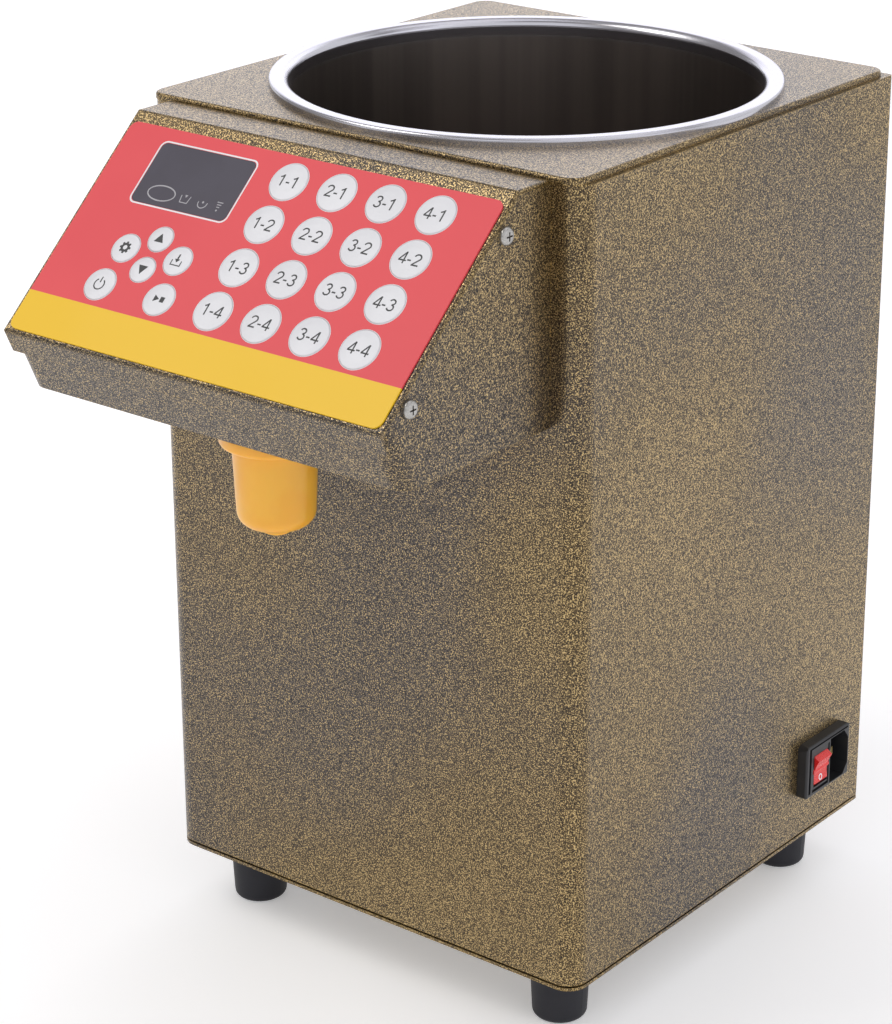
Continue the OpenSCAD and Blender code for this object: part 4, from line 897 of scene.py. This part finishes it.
def wireTree(name, kind):
    tree = bpy.data.node_groups.new(name, "GeometryNodeTree")
    tree.interface.new_socket("Geometry", in_out="INPUT", socket_type="NodeSocketGeometry")
    tree.interface.new_socket("Geometry", in_out="OUTPUT", socket_type="NodeSocketGeometry")
    for label, socketKind in (("Width", "Float"), ("Height", "Float"), ("Corner", "Float"),
                              ("Wire", "Float"), ("Turn", "Rotation"), ("Finish", "Material")):
        tree.interface.new_socket(label, in_out="INPUT", socket_type="NodeSocket" + socketKind)

    def add(nodeKind, wires, **settings):
        node = tree.nodes.new(nodeKind)
        for key, value in settings.items():
            setattr(node, key, value)
        for key, value in wires.items():
            feed(tree, node.inputs[key], value)
        return node

    given = tree.nodes.new("NodeGroupInput").outputs
    if kind == "ring":
        path = add("GeometryNodeCurvePrimitiveCircle",
                   {"Resolution": wireSteps["ring"], "Radius": given["Width"]})
    else:
        frameCurve = add("GeometryNodeCurvePrimitiveQuadrilateral",
                         {"Width": given["Width"], "Height": given["Height"]})
        path = add("GeometryNodeFilletCurve",
                   {"Curve": frameCurve.outputs[0], "Count": wireSteps["corner"],
                    "Radius": given["Corner"]}, mode="POLY")
    wire = add("GeometryNodeCurvePrimitiveCircle",
               {"Resolution": wireSteps["wire"], "Radius": given["Wire"]})
    swept = add("GeometryNodeCurveToMesh",
                {"Curve": path.outputs[0], "Profile Curve": wire.outputs[0]})
    stored = add("GeometryNodeInputNamedAttribute", {"Name": "spotScale"}, data_type="FLOAT")
    spotScale = next(socket for socket in stored.outputs if socket.enabled)
    placed = add("GeometryNodeInstanceOnPoints",
                 {"Points": given["Geometry"], "Instance": swept.outputs[0],
                  "Rotation": given["Turn"], "Scale": spotScale})
    real = add("GeometryNodeRealizeInstances", {"Geometry": placed.outputs[0]})
    painted = add("GeometryNodeSetMaterial",
                  {"Geometry": real.outputs[0], "Material": given["Finish"]})
    end = tree.nodes.new("NodeGroupOutput")
    tree.links.new(painted.outputs[0], end.inputs[0])
    return tree


ringTree = wireTree("ringsOnPoints", "ring")
lipTree = wireTree("lipsOnPoints", "lip")


def repeatPiece(name, tree, values, spots, body):
    carrier = bpy.data.meshes.new(name + "Spots")
    carrier.from_pydata([place for place, scale in spots], [], [])
    scales = carrier.attributes.new("spotScale", "FLOAT", "POINT")
    scales.data.foreach_set("value", [scale for place, scale in spots])
    holder = bpy.data.objects.new(name + "Holder", carrier)
    scene.collection.objects.link(holder)
    modifier = holder.modifiers.new("repeat", "NODES")
    modifier.node_group = tree
    for item in tree.interface.items_tree:
        if item.item_type == "SOCKET" and item.in_out == "INPUT" and item.name in values:
            modifier[item.identifier] = values[item.name]
    evaluated = holder.evaluated_get(bpy.context.evaluated_depsgraph_get())
    mesh = bpy.data.meshes.new_from_object(evaluated)
    holder.modifiers.remove(modifier)
    bpy.data.objects.remove(holder)
    shape = bmesh.new()
    shape.from_mesh(mesh)
    bmesh.ops.remove_doubles(shape, verts=shape.verts, dist=0.001 * mm)
    for face in shape.faces:
        face.smooth = True
    mesh.name = name
    addPiece(name, mesh, shape, body)


# the wire is stated for a dose key's ring, because each spot scales a ring of radius one
keyRims = {"reach": 0.29 * mm, "wire": 0.16 * mm, "doseRadius": 9.1 * mm, "crownDepth": 1.2 * mm}


def makeKeyRims():
    level = max(v.co.dot(panelOut) for v in nodes["keypad_overlay"].data.vertices)
    spots = []
    for name in keyNames:
        centre, width = topFace(name, keyRims["crownDepth"])[:2]
        centre += panelOut * (level - centre.dot(panelOut))
        spots.append((centre, width / 2 * mm + keyRims["reach"]))
    turn = Vector((0, 0, 1)).rotation_difference(panelOut).to_euler()
    values = {"Width": 1.0, "Wire": keyRims["wire"] / keyRims["doseRadius"], "Turn": turn,
              "Finish": finishes["whiteInk"]}
    repeatPiece("key_rims", ringTree, values, spots, "cabinet")


# lips round the vent slots: columns and fields of rows, measured from the wrap's middle
ventLips = {
    "width": 59.6 * mm,
    "height": 3.7 * mm,
    "corner": 1.8 * mm,
    "wire": 0.4 * mm,
    "columns": (-42 * mm, 42 * mm),
    "pitch": 8 * mm,
    "fields": ({"middle": -99.9 * mm, "rows": 11}, {"middle": 129.5 * mm, "rows": 6}),
}


def makeVentLips():
    low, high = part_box("body_shell")
    middle = (low + high) / 2
    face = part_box("rear_panel")[1].y
    spots = []
    for field in ventLips["fields"]:
        for column in ventLips["columns"]:
            for row in range(field["rows"]):
                rise = field["middle"] + (row - (field["rows"] - 1) / 2) * ventLips["pitch"]
                spots.append((Vector((middle.x + column, face, middle.z + rise)), 1.0))
    values = {"Width": ventLips["width"], "Height": ventLips["height"], "Corner": ventLips["corner"],
              "Wire": ventLips["wire"], "Turn": (math.pi / 2, 0, 0), "Finish": finishes["paint"]}
    repeatPiece("vent_lips", lipTree, values, spots, "cabinet")


# ribs round the motor, set out between two distances from its rear end
motorRibs = {"count": 9, "wire": 0.5 * mm, "first": 52 * mm, "last": 20 * mm}


def makeMotorRibs():
    low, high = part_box("motor")
    centre, radius = (low + high) / 2, (high.x - low.x) / 2
    start = high.y - motorRibs["first"]
    step = (motorRibs["first"] - motorRibs["last"]) / (motorRibs["count"] - 1)
    spots = [(Vector((centre.x, start + step * k, centre.z)), radius)
             for k in range(motorRibs["count"])]
    values = {"Width": 1.0, "Wire": motorRibs["wire"] / radius, "Turn": (math.pi / 2, 0, 0),
              "Finish": finishes["motorCan"]}
    repeatPiece("motor_ribs", ringTree, values, spots, "cabinet")


makeKeyRims()
makeVentLips()
makeMotorRibs()
print("rims, lips and ribs made")
